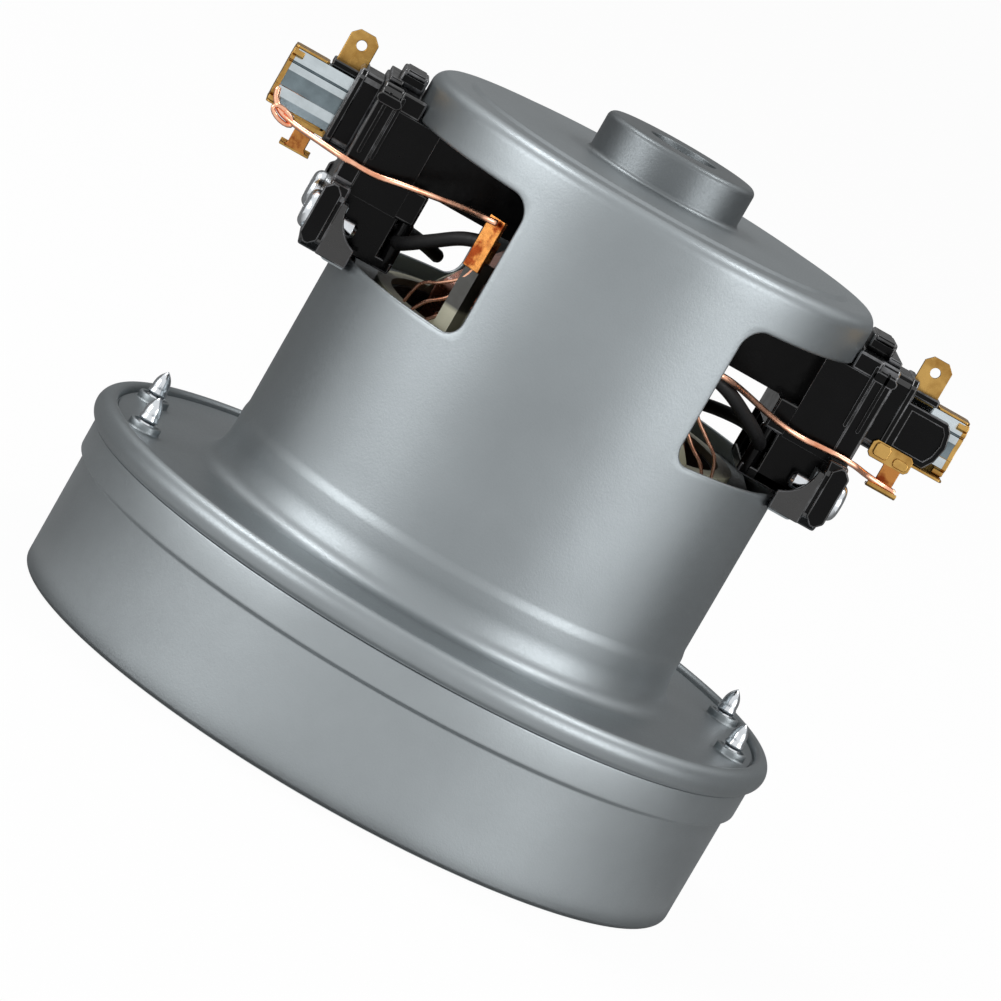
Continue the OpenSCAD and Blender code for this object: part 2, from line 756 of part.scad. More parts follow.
module bearing_outer(z) {
    mid = z + bearing_w / 2;
    color("#c3c7ca") {
        difference() {
            ring(pitch_r + land, bearing_d / 2, z, z + bearing_w);
            translate([0, 0, mid]) rotate_extrude() translate([pitch_r, 0]) circle(r = race_r);
        }
        for (s = [-1, 1]) translate([0, 0, mid + s * (bearing_w / 2 - 0.35)])
            ring(pitch_r - land + gap, pitch_r + land - fit / 5, -shield_t / 2, shield_t / 2);
    }
}

module bearing_inner(z) {
    color("#d0d3d5") difference() {
        ring(shaft_r, pitch_r - land, z, z + bearing_w);
        translate([0, 0, z + bearing_w / 2]) rotate_extrude() translate([pitch_r, 0]) circle(r = race_r);
    }
}

module at_balls(z) {
    for (k = [0:balls - 1]) rotate([0, 0, 360 * k / balls])
        translate([pitch_r, 0, z + bearing_w / 2]) children();
}

module bearing_balls(z) {
    color("#dfe2e4") at_balls(z) sphere(d = ball_d);
}

module bearing_cage(z) {
    mid = z + bearing_w / 2;
    color("#8a6a3a") difference() {
        ring(pitch_r - 0.6, pitch_r + 0.6, mid - 0.6, mid + bearing_w / 2 - 0.8);
        at_balls(z) sphere(r = race_r);
    }
}

module upper_bearing_outer() {
    bearing_outer(upper_bearing_z);
}

module lower_bearing_outer() {
    bearing_outer(lower_bearing_z);
}

module upper_bearing_inner() {
    bearing_inner(upper_bearing_z);
}

module lower_bearing_inner() {
    bearing_inner(lower_bearing_z);
}

module upper_bearing_cage() {
    bearing_cage(upper_bearing_z);
}

module lower_bearing_cage() {
    bearing_cage(lower_bearing_z);
}

module upper_bearing_balls() {
    bearing_balls(upper_bearing_z);
}

module lower_bearing_balls() {
    bearing_balls(lower_bearing_z);
}

module bearing_boot() {
    color("#242426") {
        difference() {
            ring(boss_hole_r + 1.3, boss_r - can_t - fit / 2, upper_bearing_z, boss_z - can_t);
            translate([0, 0, upper_bearing_z - 1]) cylinder(r = bearing_d / 2 + fit / 5, h = bearing_w + 1);
        }
    }
}

// Brush holders, tubes, clips and tabs, drawn on the side of +X

function cut_rectangle(w, h, c) = [
    [-w / 2 + c, -h / 2], [w / 2 - c, -h / 2], [w / 2, -h / 2 + c], [w / 2, h / 2 - c],
    [w / 2 - c, h / 2], [-w / 2 + c, h / 2], [-w / 2, h / 2 - c], [-w / 2, -h / 2 + c]
];

module tube_outline(grow = 0) {
    translate([0, brush_z]) polygon(cut_rectangle(tube_w + 2 * grow, tube_h + 2 * grow, tube_cut));
}

module plate_outline() {
    polygon([
        [-wing_y, holder_z0 + 2], [-wing_y + 2, holder_z0], [wing_y - 2, holder_z0], [wing_y, holder_z0 + 2],
        [wing_y, wing_z1 - 2], [wing_y - 2, wing_z1], [block_y, wing_z1], [block_y, holder_z1 - 1],
        [block_y - 1, holder_z1], [1 - block_y, holder_z1], [-block_y, holder_z1 - 1], [-block_y, wing_z1],
        [2 - wing_y, wing_z1], [-wing_y, wing_z1 - 2]
    ]);
}

// The holder's parts inside the window, clear of the window's edges
module holder_inside() {
    z0 = window_z0 + gap;
    z1 = window_z1 - gap;
    floor_x0 = block_x0 - 3.5;
    rib_x0 = block_x0 - 0.6;
    translate([block_x0, -block_y, block_z0]) cube([plate_x0 - block_x0, 2 * block_y, z1 - block_z0]);
    translate([foot_x0, -block_y, block_z0]) cube([plate_x0 - foot_x0, 2 * block_y, foot_h]);
    translate([floor_x0, 1 - wing_y, z0]) cube([plate_x0 - floor_x0, 2 * wing_y - 2, 2]);
    for (s = [-1, 1]) translate([rib_x0, s * (block_y - 1) - 0.9, z0])
        cube([plate_x0 - rib_x0, 1.8, block_z0 - z0 + 1]);
    difference() {
        translate([tube_x0 + 1.2, -tube_w / 2 - sleeve_t, tube_z0 - sleeve_t])
            cube([plate_x0 - tube_x0 - 1.2, tube_w + 2 * sleeve_t, z1 - tube_z0 + sleeve_t]);
        for (s = [-1, 1]) translate([tube_x0, s * (tube_w / 2 + sleeve_t) - 0.3, brush_z - 1.5])
            cube([foot_x0 - tube_x0 - gap, 0.6, 3]);
    }
}

// A web between the plate and the can, with a hollow of a quarter circle
module gusset_outline() {
    top = wing_z1 - 2.5;
    hollow = plate_x0 - 0.8 - (can_r - 4);
    polygon(concat(
        [[plate_x0 + 0.5, holder_z0 + 0.2], [can_r - 4, holder_z0 + 0.2]],
        arc([can_r - 4, top], hollow, 270, 360),
        [[plate_x0 + 0.5, top]]
    ));
}

// The wall that covers one side of the tube, seen from outside, with its outer end cut to a point
module wall_outline(inset = 0) {
    polygon([
        [collar_x1 - 1, tube_z0 + 0.1 + inset], [wall_x1 - 1.2 - inset, tube_z0 + 0.1 + inset],
        [wall_x1 - inset, tube_z0 + 2 + inset / 2], [wall_x1 + 0.6 - inset, brush_z],
        [wall_x1 - inset, tube_z1 - 2.2 - inset / 2], [wall_x1 - 1 - inset, tube_z1 - 1 - 2 * inset],
        [collar_x1 - 1, tube_z1 - 1 - 2 * inset]
    ]);
}

// The holder's parts outside the can
module holder_outside() {
    along_x(plate_x0, plate_x1) plate_outline();
    difference() {
        union() {
            translate([can_r - 6, -block_y, holder_z0])
                cube([plate_x0 - can_r + 6, 2 * block_y, holder_z1 - holder_z0]);
            for (s = [0, 1]) mirror([0, s, 0]) along_y(wing_y - gusset_t, wing_y - 0.1) gusset_outline();
            translate([can_r - 6, -4.5, holder_z1 - 1]) cube([plate_reach + 4.1, 9, 3.9]);
        }
        cylinder(r = can_r + gap, h = crown_z);
        for (s = [-1, 1]) translate([0, s * holder_screw_y - ear_w / 2 - gap, 0])
            cube([plate_x0, ear_w + 2 * gap, ear_z1 + gap]);
    }
    along_x(plate_x1 - 0.5, collar_x1) translate([0, (collar_z0 + collar_z1) / 2])
        polygon(cut_rectangle(2 * collar_y, collar_z1 - collar_z0, 1.2));
    difference() {
        along_y(-wall_y1, -wall_y0) wall_outline();
        along_y(-wall_y1 - 1, -wall_y1 + panel_d) intersection() {
            wall_outline(0.9);
            translate([collar_x1 + 0.8, 0]) square([tube_reach, 2 * brush_z]);
        }
    }
    translate([plate_x1, -wall_y0 - 0.5, tube_z1 + 0.1])
        cube([shelf_x1 - plate_x1, wall_y0 + 1.5, shelf_t - 0.1]);
}

module brush_holder() {
    color("#151516") difference() {
        union() {
            holder_outside();
            holder_inside();
        }
        along_x(tube_x0, collar_x1 + 1) tube_outline(fit);
        for (s = [-1, 1]) translate([plate_x0 - 10, s * holder_screw_y, holder_screw_z]) rotate([0, 90, 0])
            cylinder(d = holder_screw_d + 4 * fit, h = plate_t + 12);
        for (s = [-1, 1]) translate([0, s * holder_screw_y - ear_w / 2 - gap, window_z0 - 2])
            cube([plate_x0, ear_w + 2 * gap, ear_z1 + gap - window_z0 + 2]);
        translate([tab_x - tab_w / 2 - fit, tab_y - tab_t / 2 - fit, tube_z1 - 1])
            cube([tab_w + 2 * fit, tab_t + 2 * fit, 5]);
    }
}

module brush_holder_left() {
    at_side(-1) brush_holder();
}

module brush_holder_right() {
    at_side(1) brush_holder();
}

module brush_tube() {
    color("#c6cbcf") along_x(tube_x0, tube_x1) difference() {
        tube_outline();
        translate([0, brush_z]) polygon(cut_rectangle(bore_w, bore_h, bore_cut));
    }
}

module brush_tube_left() {
    at_side(-1) brush_tube();
}

module brush_tube_right() {
    at_side(1) brush_tube();
}

// Brass cap on the tube's outer end, with straps over and under the tube, a flag beside it and a hooked tail
module tube_clip() {
    color("#b8863b") {
        along_x(tube_x1, tube_x1 + clip_t) tube_outline();
        translate([shelf_x1 + gap, -2.4, tube_z1]) cube([tube_x1 + clip_t - shelf_x1 - gap, 4.8, strap_t]);
        translate([collar_x1 + gap, -flap_y, tube_z0 - strap_t])
            cube([tube_x1 + clip_t - collar_x1 - gap, flap_y + 2.4, strap_t]);
        translate([flag_x - flag_w / 2, -flap_y, flag_z0]) cube([flag_w, strap_t, flag_z1 - flag_z0]);
        translate([hook_x - 2.1, -flap_y, hook_z0]) cube([4.2, strap_t, tube_z0 - hook_z0 - 1]);
        translate([hook_x - hook_w / 2, -flap_y - 1.9, hook_z0]) cube([hook_w, 2.2, strap_t]);
    }
}

module tube_clip_left() {
    at_side(-1) tube_clip();
}

module tube_clip_right() {
    at_side(1) tube_clip();
}

module tab_terminal() {
    z0 = tube_z1;
    h = tab_z1 - z0;
    color("#b8893c") translate([tab_x, tab_y + tab_t / 2, 0]) rotate([90, 0, 0]) linear_extrude(tab_t)
        difference() {
            polygon([
                [-tab_w / 2, z0], [tab_w / 2, z0], [tab_w / 2, z0 + h - 1.2], [tab_w / 2 - 1.2, z0 + h],
                [1.2 - tab_w / 2, z0 + h], [-tab_w / 2, z0 + h - 1.2]
            ]);
            translate([0, tab_z1 - 2.4]) circle(d = 1.8);
        }
}

module tab_terminal_left() {
    at_side(-1) tab_terminal();
}

module tab_terminal_right() {
    at_side(1) tab_terminal();
}

// Bare copper leads, from each tube's clip to the field terminal inside the window

left_wire_route = [
    [21.96, -175.9, -2.1], [21.38, -175.68, -3.9], [19.83, -175.02, -5.4], [17.06, -173.72, -6],
    [12.71, -169.55, -6.1], [8.56, -165.8, -6.2], [3.34, -162.83, -6.1], [-0.8, -158.86, -5.1],
    [-4.23, -150.14, -3.7], [-4.56, -138.64, -2.3], [-2.76, -129.47, -1.4], [-2.87, -125.94, -1.1]
];
right_wire_route = [
    [16.99, -7.35, -10.5], [14.33, -7.8, -10.4], [11.2, -9.88, -9.9], [8.97, -13.74, -9.2],
    [5.9, -16.11, -9], [2.89, -17.47, -9.1], [-0.24, -19.25, -9.3], [-3.07, -23.37, -8.9],
    [-5.23, -31.47, -7.8], [-5.69, -43.79, -6.1], [-3.6, -54.02, -4.9], [-2.93, -59.47, -4.5]
];

module lead_wire(route) {
    path = routed(route, 4);
    color("#c9793f") wire(path, lead_d / 2, 8, [for (p = path) [0, 0, 1]]);
}

module lead_wire_left() {
    lead_wire(left_wire_route);
}

module lead_wire_right() {
    lead_wire(right_wire_route);
}

module holder_screws() {
    color("#d3d7da") for (side = [-1, 1], s = [-1, 1])
        at_side(side) translate([plate_x1, s * holder_screw_y, holder_screw_z]) rotate([0, 90, 0])
            difference() {
                rotate_extrude() polygon(concat(
                    [[0, plate_x0 - plate_x1 - 4], [holder_screw_d / 2 - 0.4, plate_x0 - plate_x1 - 4]],
                    [[holder_screw_d / 2, plate_x0 - plate_x1 - 3.4], [holder_screw_d / 2, 0]],
                    [[holder_head_r, 0]],
                    arc([holder_head_r - 1.4, 0.5], 1.4, 0, 90, 6),
                    [[0, 1.9]]
                ));
                for (b = [0, 90]) rotate([0, 0, b]) translate([-1.9, -0.35, 0.9]) cube([3.8, 0.7, 2]);
            }
}

// Rotor

module shaft() {
    thread_z = fan_z - 1;
    color("#b9bdc0") {
        rotate_extrude() polygon([
            [0, shaft_z0], [shaft_r - 0.8, shaft_z0], [shaft_r - 0.15, shaft_z0 + 0.65],
            [shaft_r - 0.15, thread_z], [shaft_r - fit / 5, thread_z],
            [shaft_r - fit / 5, boss_z - 1.7], [shaft_r - 0.7, boss_z - 1], [0, boss_z - 1]
        ]);
    }
}

module rotor_core() {
    color("#77797b") translate([0, 0, stack_z]) linear_extrude(stack_h) difference() {
        circle(r = rotor_r);
        circle(r = shaft_r);
        for (k = [0:slots - 1]) rotate([0, 0, 360 * k / slots]) {
            translate([slot_c, 0]) circle(r = slot_r);
            translate([slot_c, -slot_mouth / 2]) square([rotor_r - slot_c + 2, slot_mouth]);
        }
    }
}

module rotor_winding() {
    top = stack_top + coil_end_h - 3;
    neck_z = comm_z - 0.5;
    color("#6b3f22") {
        rotate_extrude() polygon(concat(
            [[shaft_r + 1.5, stack_top + 0.1]],
            [[end_turn_r, stack_top + 0.1]],
            arc([end_turn_r - 3, top - 3], 3, 0, 90, 6),
            [[comm_r - 1, neck_z], [shaft_r + 1.5, neck_z]]
        ));
        rotate_extrude() polygon(concat(
            [[shaft_r + 1.5, stack_z - 0.1]],
            [[shaft_r + 1.5, stack_z - coil_end_h + 1]],
            arc([end_turn_r - 3, stack_z - coil_end_h + 4], 3, 270, 360, 6),
            [[end_turn_r, stack_z - 0.1]]
        ));
        for (k = [0:slots - 1]) rotate([0, 0, 360 * k / slots])
            translate([slot_c, 0, stack_z - 0.5]) cylinder(r = slot_r - 0.2, h = stack_h + 1);
    }
}

module commutator_bars() {
    half = 180 / slots - 1.1;
    color("#b06b3c") for (k = [0:slots - 1]) rotate([0, 0, 360 * k / slots])
        rotate([0, 0, -half]) rotate_extrude(angle = 2 * half) polygon([
            [comm_r - 3, comm_z], [comm_r + 1, comm_z], [comm_r + 1, comm_z + 1.4], [comm_r, comm_z + 1.4],
            [comm_r, comm_z + comm_h], [comm_r - 3, comm_z + comm_h]
        ]);
}

module commutator_hub() {
    color("#4a2f22") {
        ring(shaft_r, comm_r - 3, comm_z - 0.4, comm_z + comm_h + 0.6);
        ring(shaft_r, shaft_r + 1.8, comm_z + comm_h + 0.5, upper_bearing_z);
    }
}

// Fan

function shroud_top(r) = eye_z + fan_t + (shroud_z - eye_z) * (r - neck_r - fan_t) / (fan_r - neck_r - fan_t);

module impeller_back_plate() {
    color("#b4b9bc") ring(shaft_r, fan_r, fan_z, fan_z + fan_t);
}

module impeller_shroud() {
    color("#aeb3b6") rotate_extrude() polygon([
        [neck_r, cover_t + 1.6], [neck_r + fan_t, cover_t + 1.6], [neck_r + fan_t, eye_z], [fan_r, shroud_z],
        [fan_r, shroud_z + fan_t], [neck_r + fan_t, eye_z + fan_t], [neck_r, eye_z + fan_t]
    ]);
}

module impeller_blades() {
    r0 = neck_r + fan_t + 1;
    r1 = fan_r - 1;
    color("#a7adb0") intersection() {
        curved_blades(blades, 0.9, neck_r - 4, fan_r + 5.5, 1, fan_z + 1);
        rotate_extrude() polygon([[r0, shroud_top(r0)], [r1, shroud_top(r1)], [r1, fan_z], [r0, fan_z]]);
    }
}

module impeller_spacer() {
    color("#9a9ea1") ring(shaft_r, shaft_r + 2, fan_z + fan_t + clamp_t, lower_bearing_z);
}

module clamp_washers() {
    color("#8e9396") {
        ring(shaft_r, clamp_r, fan_z - clamp_t, fan_z);
        ring(shaft_r, clamp_r, fan_z + fan_t, fan_z + fan_t + clamp_t);
    }
}

module impeller_nut() {
    color("#c4b27a") difference() {
        translate([0, 0, nut_z]) cylinder(d = nut_across / cos(30), h = nut_h, $fn = 6);
        cylinder(r = shaft_r - 0.1, h = fan_z);
    }
}

// Brushes, springs and pigtails, drawn on the side of +X

module carbon_brush() {
    color("#2e2e30") difference() {
        along_x(comm_r - 1, brush_back) translate([0, brush_z])
            polygon(cut_rectangle(brush_w, brush_h, bore_cut));
        cylinder(r = comm_r + fit, h = 2 * comm_z);
    }
}

function spring_path() =
    let (x0 = brush_back + spring_wire / 2 + fit, x1 = tube_x1 - spring_wire / 2 - fit, n = 8 * spring_turns)
    [for (i = [0:n]) [
        x0 + (x1 - x0) * i / n,
        spring_r * cos(360 * i / 8),
        brush_z + spring_r * sin(360 * i / 8)
    ]];

module brush_spring() {
    path = spring_path();
    color("#b7bcc0") wire(path, spring_wire / 2, 6, [for (p = path) [1, 0, 0]]);
}

module brush_pigtail() {
    color("#b8753f") translate([brush_back, 0, brush_z]) rotate([0, 90, 0])
        cylinder(r = pigtail_r, h = tube_x1 - brush_back);
}

module carbon_brush_left() {
    at_side(-1) carbon_brush();
}

module carbon_brush_right() {
    at_side(1) carbon_brush();
}

module brush_spring_left() {
    at_side(-1) brush_spring();
}

module brush_spring_right() {
    at_side(1) brush_spring();
}

module brush_pigtail_left() {
    at_side(-1) brush_pigtail();
}

module brush_pigtail_right() {
    at_side(1) brush_pigtail();
}

echo("Least gap between turns of a field coil, mm", least_gap(field_turns(-90), wire_d, 18));
echo("Least gap between turns of a brush spring, mm", least_gap(spring_path(), spring_wire, 6));

motor_can();
fan_cover();
eye_seal();
bearing_bracket();
diffuser();
flange_screws();
stator_core();
coil_former_upper();
coil_former_lower();
field_coil_front();
field_coil_rear();
field_terminal_left();
field_terminal_right();
coil_lead_left();
coil_lead_right();
bearing_boot();
upper_bearing_outer();
lower_bearing_outer();
brush_holder_left();
brush_holder_right();
brush_tube_left();
brush_tube_right();
tube_clip_left();
tube_clip_right();
tab_terminal_left();
tab_terminal_right();
lead_wire_left();
lead_wire_right();
holder_screws();
shaft();
rotor_core();
rotor_winding();
commutator_bars();
commutator_hub();
upper_bearing_inner();
lower_bearing_inner();
impeller_back_plate();
impeller_shroud();
impeller_blades();
impeller_spacer();
clamp_washers();
impeller_nut();
upper_bearing_cage();
upper_bearing_balls();
lower_bearing_cage();
lower_bearing_balls();
carbon_brush_left();
carbon_brush_right();
brush_spring_left();
brush_spring_right();
brush_pigtail_left();
brush_pigtail_right();
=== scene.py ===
import json
import math

import bmesh
import bpy
from mathutils import Matrix, Vector


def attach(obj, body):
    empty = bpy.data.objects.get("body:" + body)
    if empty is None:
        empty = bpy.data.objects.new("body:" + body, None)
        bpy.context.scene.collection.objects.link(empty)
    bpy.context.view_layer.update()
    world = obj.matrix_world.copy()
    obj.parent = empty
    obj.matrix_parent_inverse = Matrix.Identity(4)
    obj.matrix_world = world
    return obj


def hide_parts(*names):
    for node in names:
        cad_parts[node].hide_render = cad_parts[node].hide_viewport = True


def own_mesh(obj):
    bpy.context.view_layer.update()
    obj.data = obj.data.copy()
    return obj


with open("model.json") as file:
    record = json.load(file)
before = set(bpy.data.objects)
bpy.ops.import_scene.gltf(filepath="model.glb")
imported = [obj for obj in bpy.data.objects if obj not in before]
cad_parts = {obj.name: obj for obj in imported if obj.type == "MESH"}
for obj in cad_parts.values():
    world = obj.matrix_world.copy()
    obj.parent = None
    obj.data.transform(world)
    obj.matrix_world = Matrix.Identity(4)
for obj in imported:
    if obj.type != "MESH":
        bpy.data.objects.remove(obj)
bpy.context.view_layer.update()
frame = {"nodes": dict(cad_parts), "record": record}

MM = 0.001
WHITE = (1, 1, 1, 1)
scene = bpy.context.scene


# Camera, floor, world and lamps

def look(location, toward, roll):
    """A matrix that looks along toward, its right side turned up by roll degrees."""
    back = -Vector(toward).normalized()
    right = Vector((0, 0, 1)).cross(back).normalized()
    up = back.cross(right)
    a = math.radians(roll)
    x = right * math.cos(a) + up * math.sin(a)
    y = up * math.cos(a) - right * math.sin(a)
    m = Matrix((x, y, back)).transposed().to_4x4()
    m.translation = Vector(location)
    return m


camera_data = bpy.data.cameras.new("camera")
camera_data.lens = 204.6
camera_data.sensor_width = 36
camera_data.clip_start = 0.05
camera_data.clip_end = 20
camera = bpy.data.objects.new("camera", camera_data)
scene.collection.objects.link(camera)
CAMERA_PLACE = (-0.0875, -0.946, 0.1919)
CAMERA_TOWARD = (0.0939, 0.9842, -0.1499)
CAMERA_ROLL = 30
camera.matrix_world = look(CAMERA_PLACE, CAMERA_TOWARD, CAMERA_ROLL)
scene.camera = camera
scene.view_settings.view_transform = "Standard"


def new_tree(owner):
    owner.use_nodes = True
    tree = owner.node_tree
    tree.nodes.clear()
    return tree


def add_node(tree, kind, inputs=None, **settings):
    n = tree.nodes.new(kind)
    for key, value in settings.items():
        setattr(n, key, value)
    for key, value in (inputs or {}).items():
        if isinstance(value, bpy.types.NodeSocket):
            tree.links.new(value, n.inputs[key])
        else:
            n.inputs[key].default_value = value
    return n


def seen_directly(tree):
    """1 for rays from the camera, from gloss and through glass, and 0 for light that falls on the object."""
    path = add_node(tree, "ShaderNodeLightPath").outputs
    value = path["Is Camera Ray"]
    for kind in ("Is Glossy Ray", "Is Transmission Ray"):
        value = add_node(tree, "ShaderNodeMath", {0: value, 1: path[kind]}, operation="MAXIMUM").outputs[0]
    return value


FILL_LIGHT = 0.42
world = bpy.data.worlds.new("studio")
scene.world = world
tree = new_tree(world)
fill = add_node(tree, "ShaderNodeBackground", {"Color": WHITE, "Strength": FILL_LIGHT}).outputs[0]
backdrop = add_node(tree, "ShaderNodeBackground", {"Color": WHITE, "Strength": 1.0}).outputs[0]
mix = add_node(tree, "ShaderNodeMixShader", {0: seen_directly(tree), 1: fill, 2: backdrop})
add_node(tree, "ShaderNodeOutputWorld", {"Surface": mix.outputs[0]})

# The floor takes shadows as a matt white, and glows almost white where it is seen
FLOOR_Z = -0.0002
FLOOR_REACH = 6
FLOOR_GLOW = 0.96
corners = [(x * FLOOR_REACH, y * FLOOR_REACH, FLOOR_Z) for x, y in ((-1, -1), (1, -1), (1, 1), (-1, 1))]
floor_mesh = bpy.data.meshes.new("floor")
floor_mesh.from_pydata(corners, [], [(0, 1, 2, 3)])
floor = bpy.data.objects.new("floor", floor_mesh)
scene.collection.objects.link(floor)
floor_look = bpy.data.materials.new("floor_white")
tree = new_tree(floor_look)
matt = add_node(tree, "ShaderNodeBsdfDiffuse", {"Color": (0.8, 0.8, 0.8, 1)}).outputs[0]
bright = add_node(tree, "ShaderNodeEmission", {"Color": WHITE, "Strength": 1.0}).outputs[0]
share = add_node(tree, "ShaderNodeMath", {0: seen_directly(tree), 1: FLOOR_GLOW}, operation="MULTIPLY")
mix = add_node(tree, "ShaderNodeMixShader", {0: share.outputs[0], 1: matt, 2: bright})
add_node(tree, "ShaderNodeOutputMaterial", {"Surface": mix.outputs[0]})
floor_mesh.materials.append(floor_look)

# Azimuth of the direction from the object to the camera, from which lamps and cards count theirs
FRONT = -95.3


def around(azimuth, distance, z):
    a = math.radians(FRONT + azimuth)
    return Vector((distance * math.cos(a), distance * math.sin(a), z))


def area_lamp(name, place, target, size_x, size_y, power):
    """A rectangular lamp of so many watts at place, turned to target."""
    data = bpy.data.lights.new(name, "AREA")
    data.shape = "RECTANGLE"
    data.size = size_x
    data.size_y = size_y
    data.energy = power
    lamp = bpy.data.objects.new(name, data)
    scene.collection.objects.link(lamp)
    lamp.matrix_world = look(place, Vector(target) - place, 0)


def dark_card(name, a0, a1, grey, *profile):
    """A grey card that only gloss sees, as a studio's flags shade bare metal.

    profile holds (distance, height) in metres, and the card runs from azimuth a0 to a1."""
    steps = round((a1 - a0) / CARD_STEP)
    verts = []
    for k in range(steps + 1):
        verts += [around(a0 + (a1 - a0) * k / steps, r, z) for r, z in profile]
    n = len(profile)
    faces = []
    for k in range(steps):
        for j in range(n - 1):
            faces.append((n * k + j, n * k + j + 1, n * k + j + n + 1, n * k + j + n))
    mesh = bpy.data.meshes.new(name)
    mesh.from_pydata([tuple(v) for v in verts], [], faces)
    card = bpy.data.objects.new(name, mesh)
    scene.collection.objects.link(card)
    paint = bpy.data.materials.new(name)
    tree = new_tree(paint)
    glow = add_node(tree, "ShaderNodeEmission", {"Color": WHITE, "Strength": grey})
    add_node(tree, "ShaderNodeOutputMaterial", {"Surface": glow.outputs[0]})
    mesh.materials.append(paint)
    card.visible_camera = False
    card.visible_diffuse = False
    card.visible_transmission = False
    card.visible_shadow = False


BODY, CROWN = (0, 0, 0.06), (0, 0, 0.1)
area_lamp("left_soft_box", around(-55, 1.25, 0.31), BODY, 0.85, 0.62, 6.9)
area_lamp("right_soft_box", around(59, 1.25, 0.31), BODY, 0.85, 0.62, 6.5)
area_lamp("left_high_light", around(-100, 0.65, 1.2), CROWN, 0.36, 0.36, 5.0)
area_lamp("right_high_light", around(98, 0.65, 1.2), CROWN, 0.36, 0.36, 4.4)

# Cards on the floor beside the cover, FADE degrees each from the side to the front, and one round its foot
CARD_STEP, SIDE, FADE = 2, 92, 12
NEAR, MIDDLE, FAR, BEND = (0.063, 0.0001), (0.2, 0.0001), (0.33, 0.0001), (0.36, 0.03)
for k, grey in enumerate((0.36, 0.52, 0.68, 0.84)):
    dark_card("card_left_floor_%d" % k, FADE * k - SIDE, FADE * (k + 1) - SIDE, grey, NEAR, MIDDLE)
    dark_card("card_right_floor_%d" % k, SIDE - FADE * (k + 1), SIDE - FADE * k, grey, NEAR, MIDDLE)
dark_card("card_round_foot", -180, 180, 0.1, (0.0615, 0.0002), (0.067, 0.0002))

# Cards that stand round the back, low beside the object and higher behind it
dark_card("card_left", -140, -SIDE, 0.22, NEAR, FAR, BEND, (0.40, 0.26))
dark_card("card_left_rear", -166, -140, 0.15, NEAR, FAR, BEND, (0.40, 0.38))
dark_card("card_back", -194, -166, 0.24, NEAR, FAR, BEND, (0.40, 0.44))
dark_card("card_right_rear", 140, 166, 0.15, NEAR, FAR, BEND, (0.40, 0.38))
dark_card("card_right", SIDE, 140, 0.21, NEAR, FAR, BEND, (0.40, 0.26))


# Materials

def srgb(r, g, b):
    def linear(c):
        c = c / 255
        return c / 12.92 if c <= 0.04045 else ((c + 0.055) / 1.055) ** 2.4
    return (linear(r), linear(g), linear(b), 1)


def scaled(c, k):
    return (c[0] * k, c[1] * k, c[2] * k, 1)


def noise(t, where, scale, detail, rough):
    inputs = {"Vector": where, "Scale": scale, "Detail": detail, "Roughness": rough}
    return add_node(t, "ShaderNodeTexNoise", inputs).outputs["Fac"]


def ranged(t, value, low, high, start, end):
    """Carries low..high over to start..end, and stays at their ends beyond."""
    return add_node(t, "ShaderNodeMapRange", {"Value": value, 1: low, 2: high, 3: start, 4: end}).outputs[0]


def mixed(t, share, first, second):
    return add_node(t, "ShaderNodeMix", {0: share, 6: first, 7: second}, data_type="RGBA").outputs[2]


def surface(name, colour, metallic=0.0, rough=0.5, rough_spread=0.08, tone=0.12, grain=900, bump=0.06,
            stretch=(1, 1, 1), other=None, patch=160, bands=None, coat=0.0, coat_rough=0.1,
            spread=(0.35, 0.7), gloss_level=0.5, above=None):
    """A node material: patches of another tone, fine grain in roughness and relief, and bands where given.

    grain and patch are in cells per metre. spread is the noise over which one tone turns into the other.
    bands is (direction, cells per metre, depth, colour). above is (height, blend, factor): over that
    height the colour is scaled by the factor."""
    m = bpy.data.materials.new(name)
    t = new_tree(m)
    where = add_node(t, "ShaderNodeTexCoord").outputs["Object"]
    stretched = add_node(t, "ShaderNodeMapping", {"Vector": where, "Scale": stretch}).outputs[0]
    patches = noise(t, where, patch, 4, 0.55)
    height = noise(t, stretched, grain, 3, 0.6)
    rough_low = max(0.02, rough - rough_spread)
    gloss = ranged(t, height, 0.3, 0.7, rough_low, rough + rough_spread)
    share = ranged(t, patches, spread[0], spread[1], 0, 1)
    shade = mixed(t, share, scaled(colour, 1 + tone / 2), other or scaled(colour, 1 - tone))
    if above:
        level, blend, factor = above
        z = add_node(t, "ShaderNodeSeparateXYZ", {0: where}).outputs[2]
        over = ranged(t, z, level - blend / 2, level + blend / 2, 0, 1)
        shade = mixed(t, over, shade, scaled(colour, factor))
    if bands:
        direction, count, depth, band_colour = bands
        inputs = {"Vector": where, "Scale": count / 2, "Distortion": 0.0}
        wave = add_node(t, "ShaderNodeTexWave", inputs, bands_direction=direction).outputs["Fac"]
        shade = mixed(t, ranged(t, wave, 0.0, 0.35, 1, 0), shade, band_colour)
        lift = add_node(t, "ShaderNodeMath", {0: wave, 1: depth, 2: height}, operation="MULTIPLY_ADD")
        height = lift.outputs[0]
    relief = add_node(t, "ShaderNodeBump", {"Height": height, "Strength": bump, "Distance": 0.0002})
    skin = add_node(t, "ShaderNodeBsdfPrincipled", {
        "Base Color": shade, "Roughness": gloss, "Normal": relief.outputs[0]})
    skin.inputs["Metallic"].default_value = metallic
    skin.inputs["Specular IOR Level"].default_value = gloss_level
    skin.inputs["Coat Weight"].default_value = coat
    skin.inputs["Coat Roughness"].default_value = coat_rough
    add_node(t, "ShaderNodeOutputMaterial", {"Surface": skin.outputs[0]})
    return m


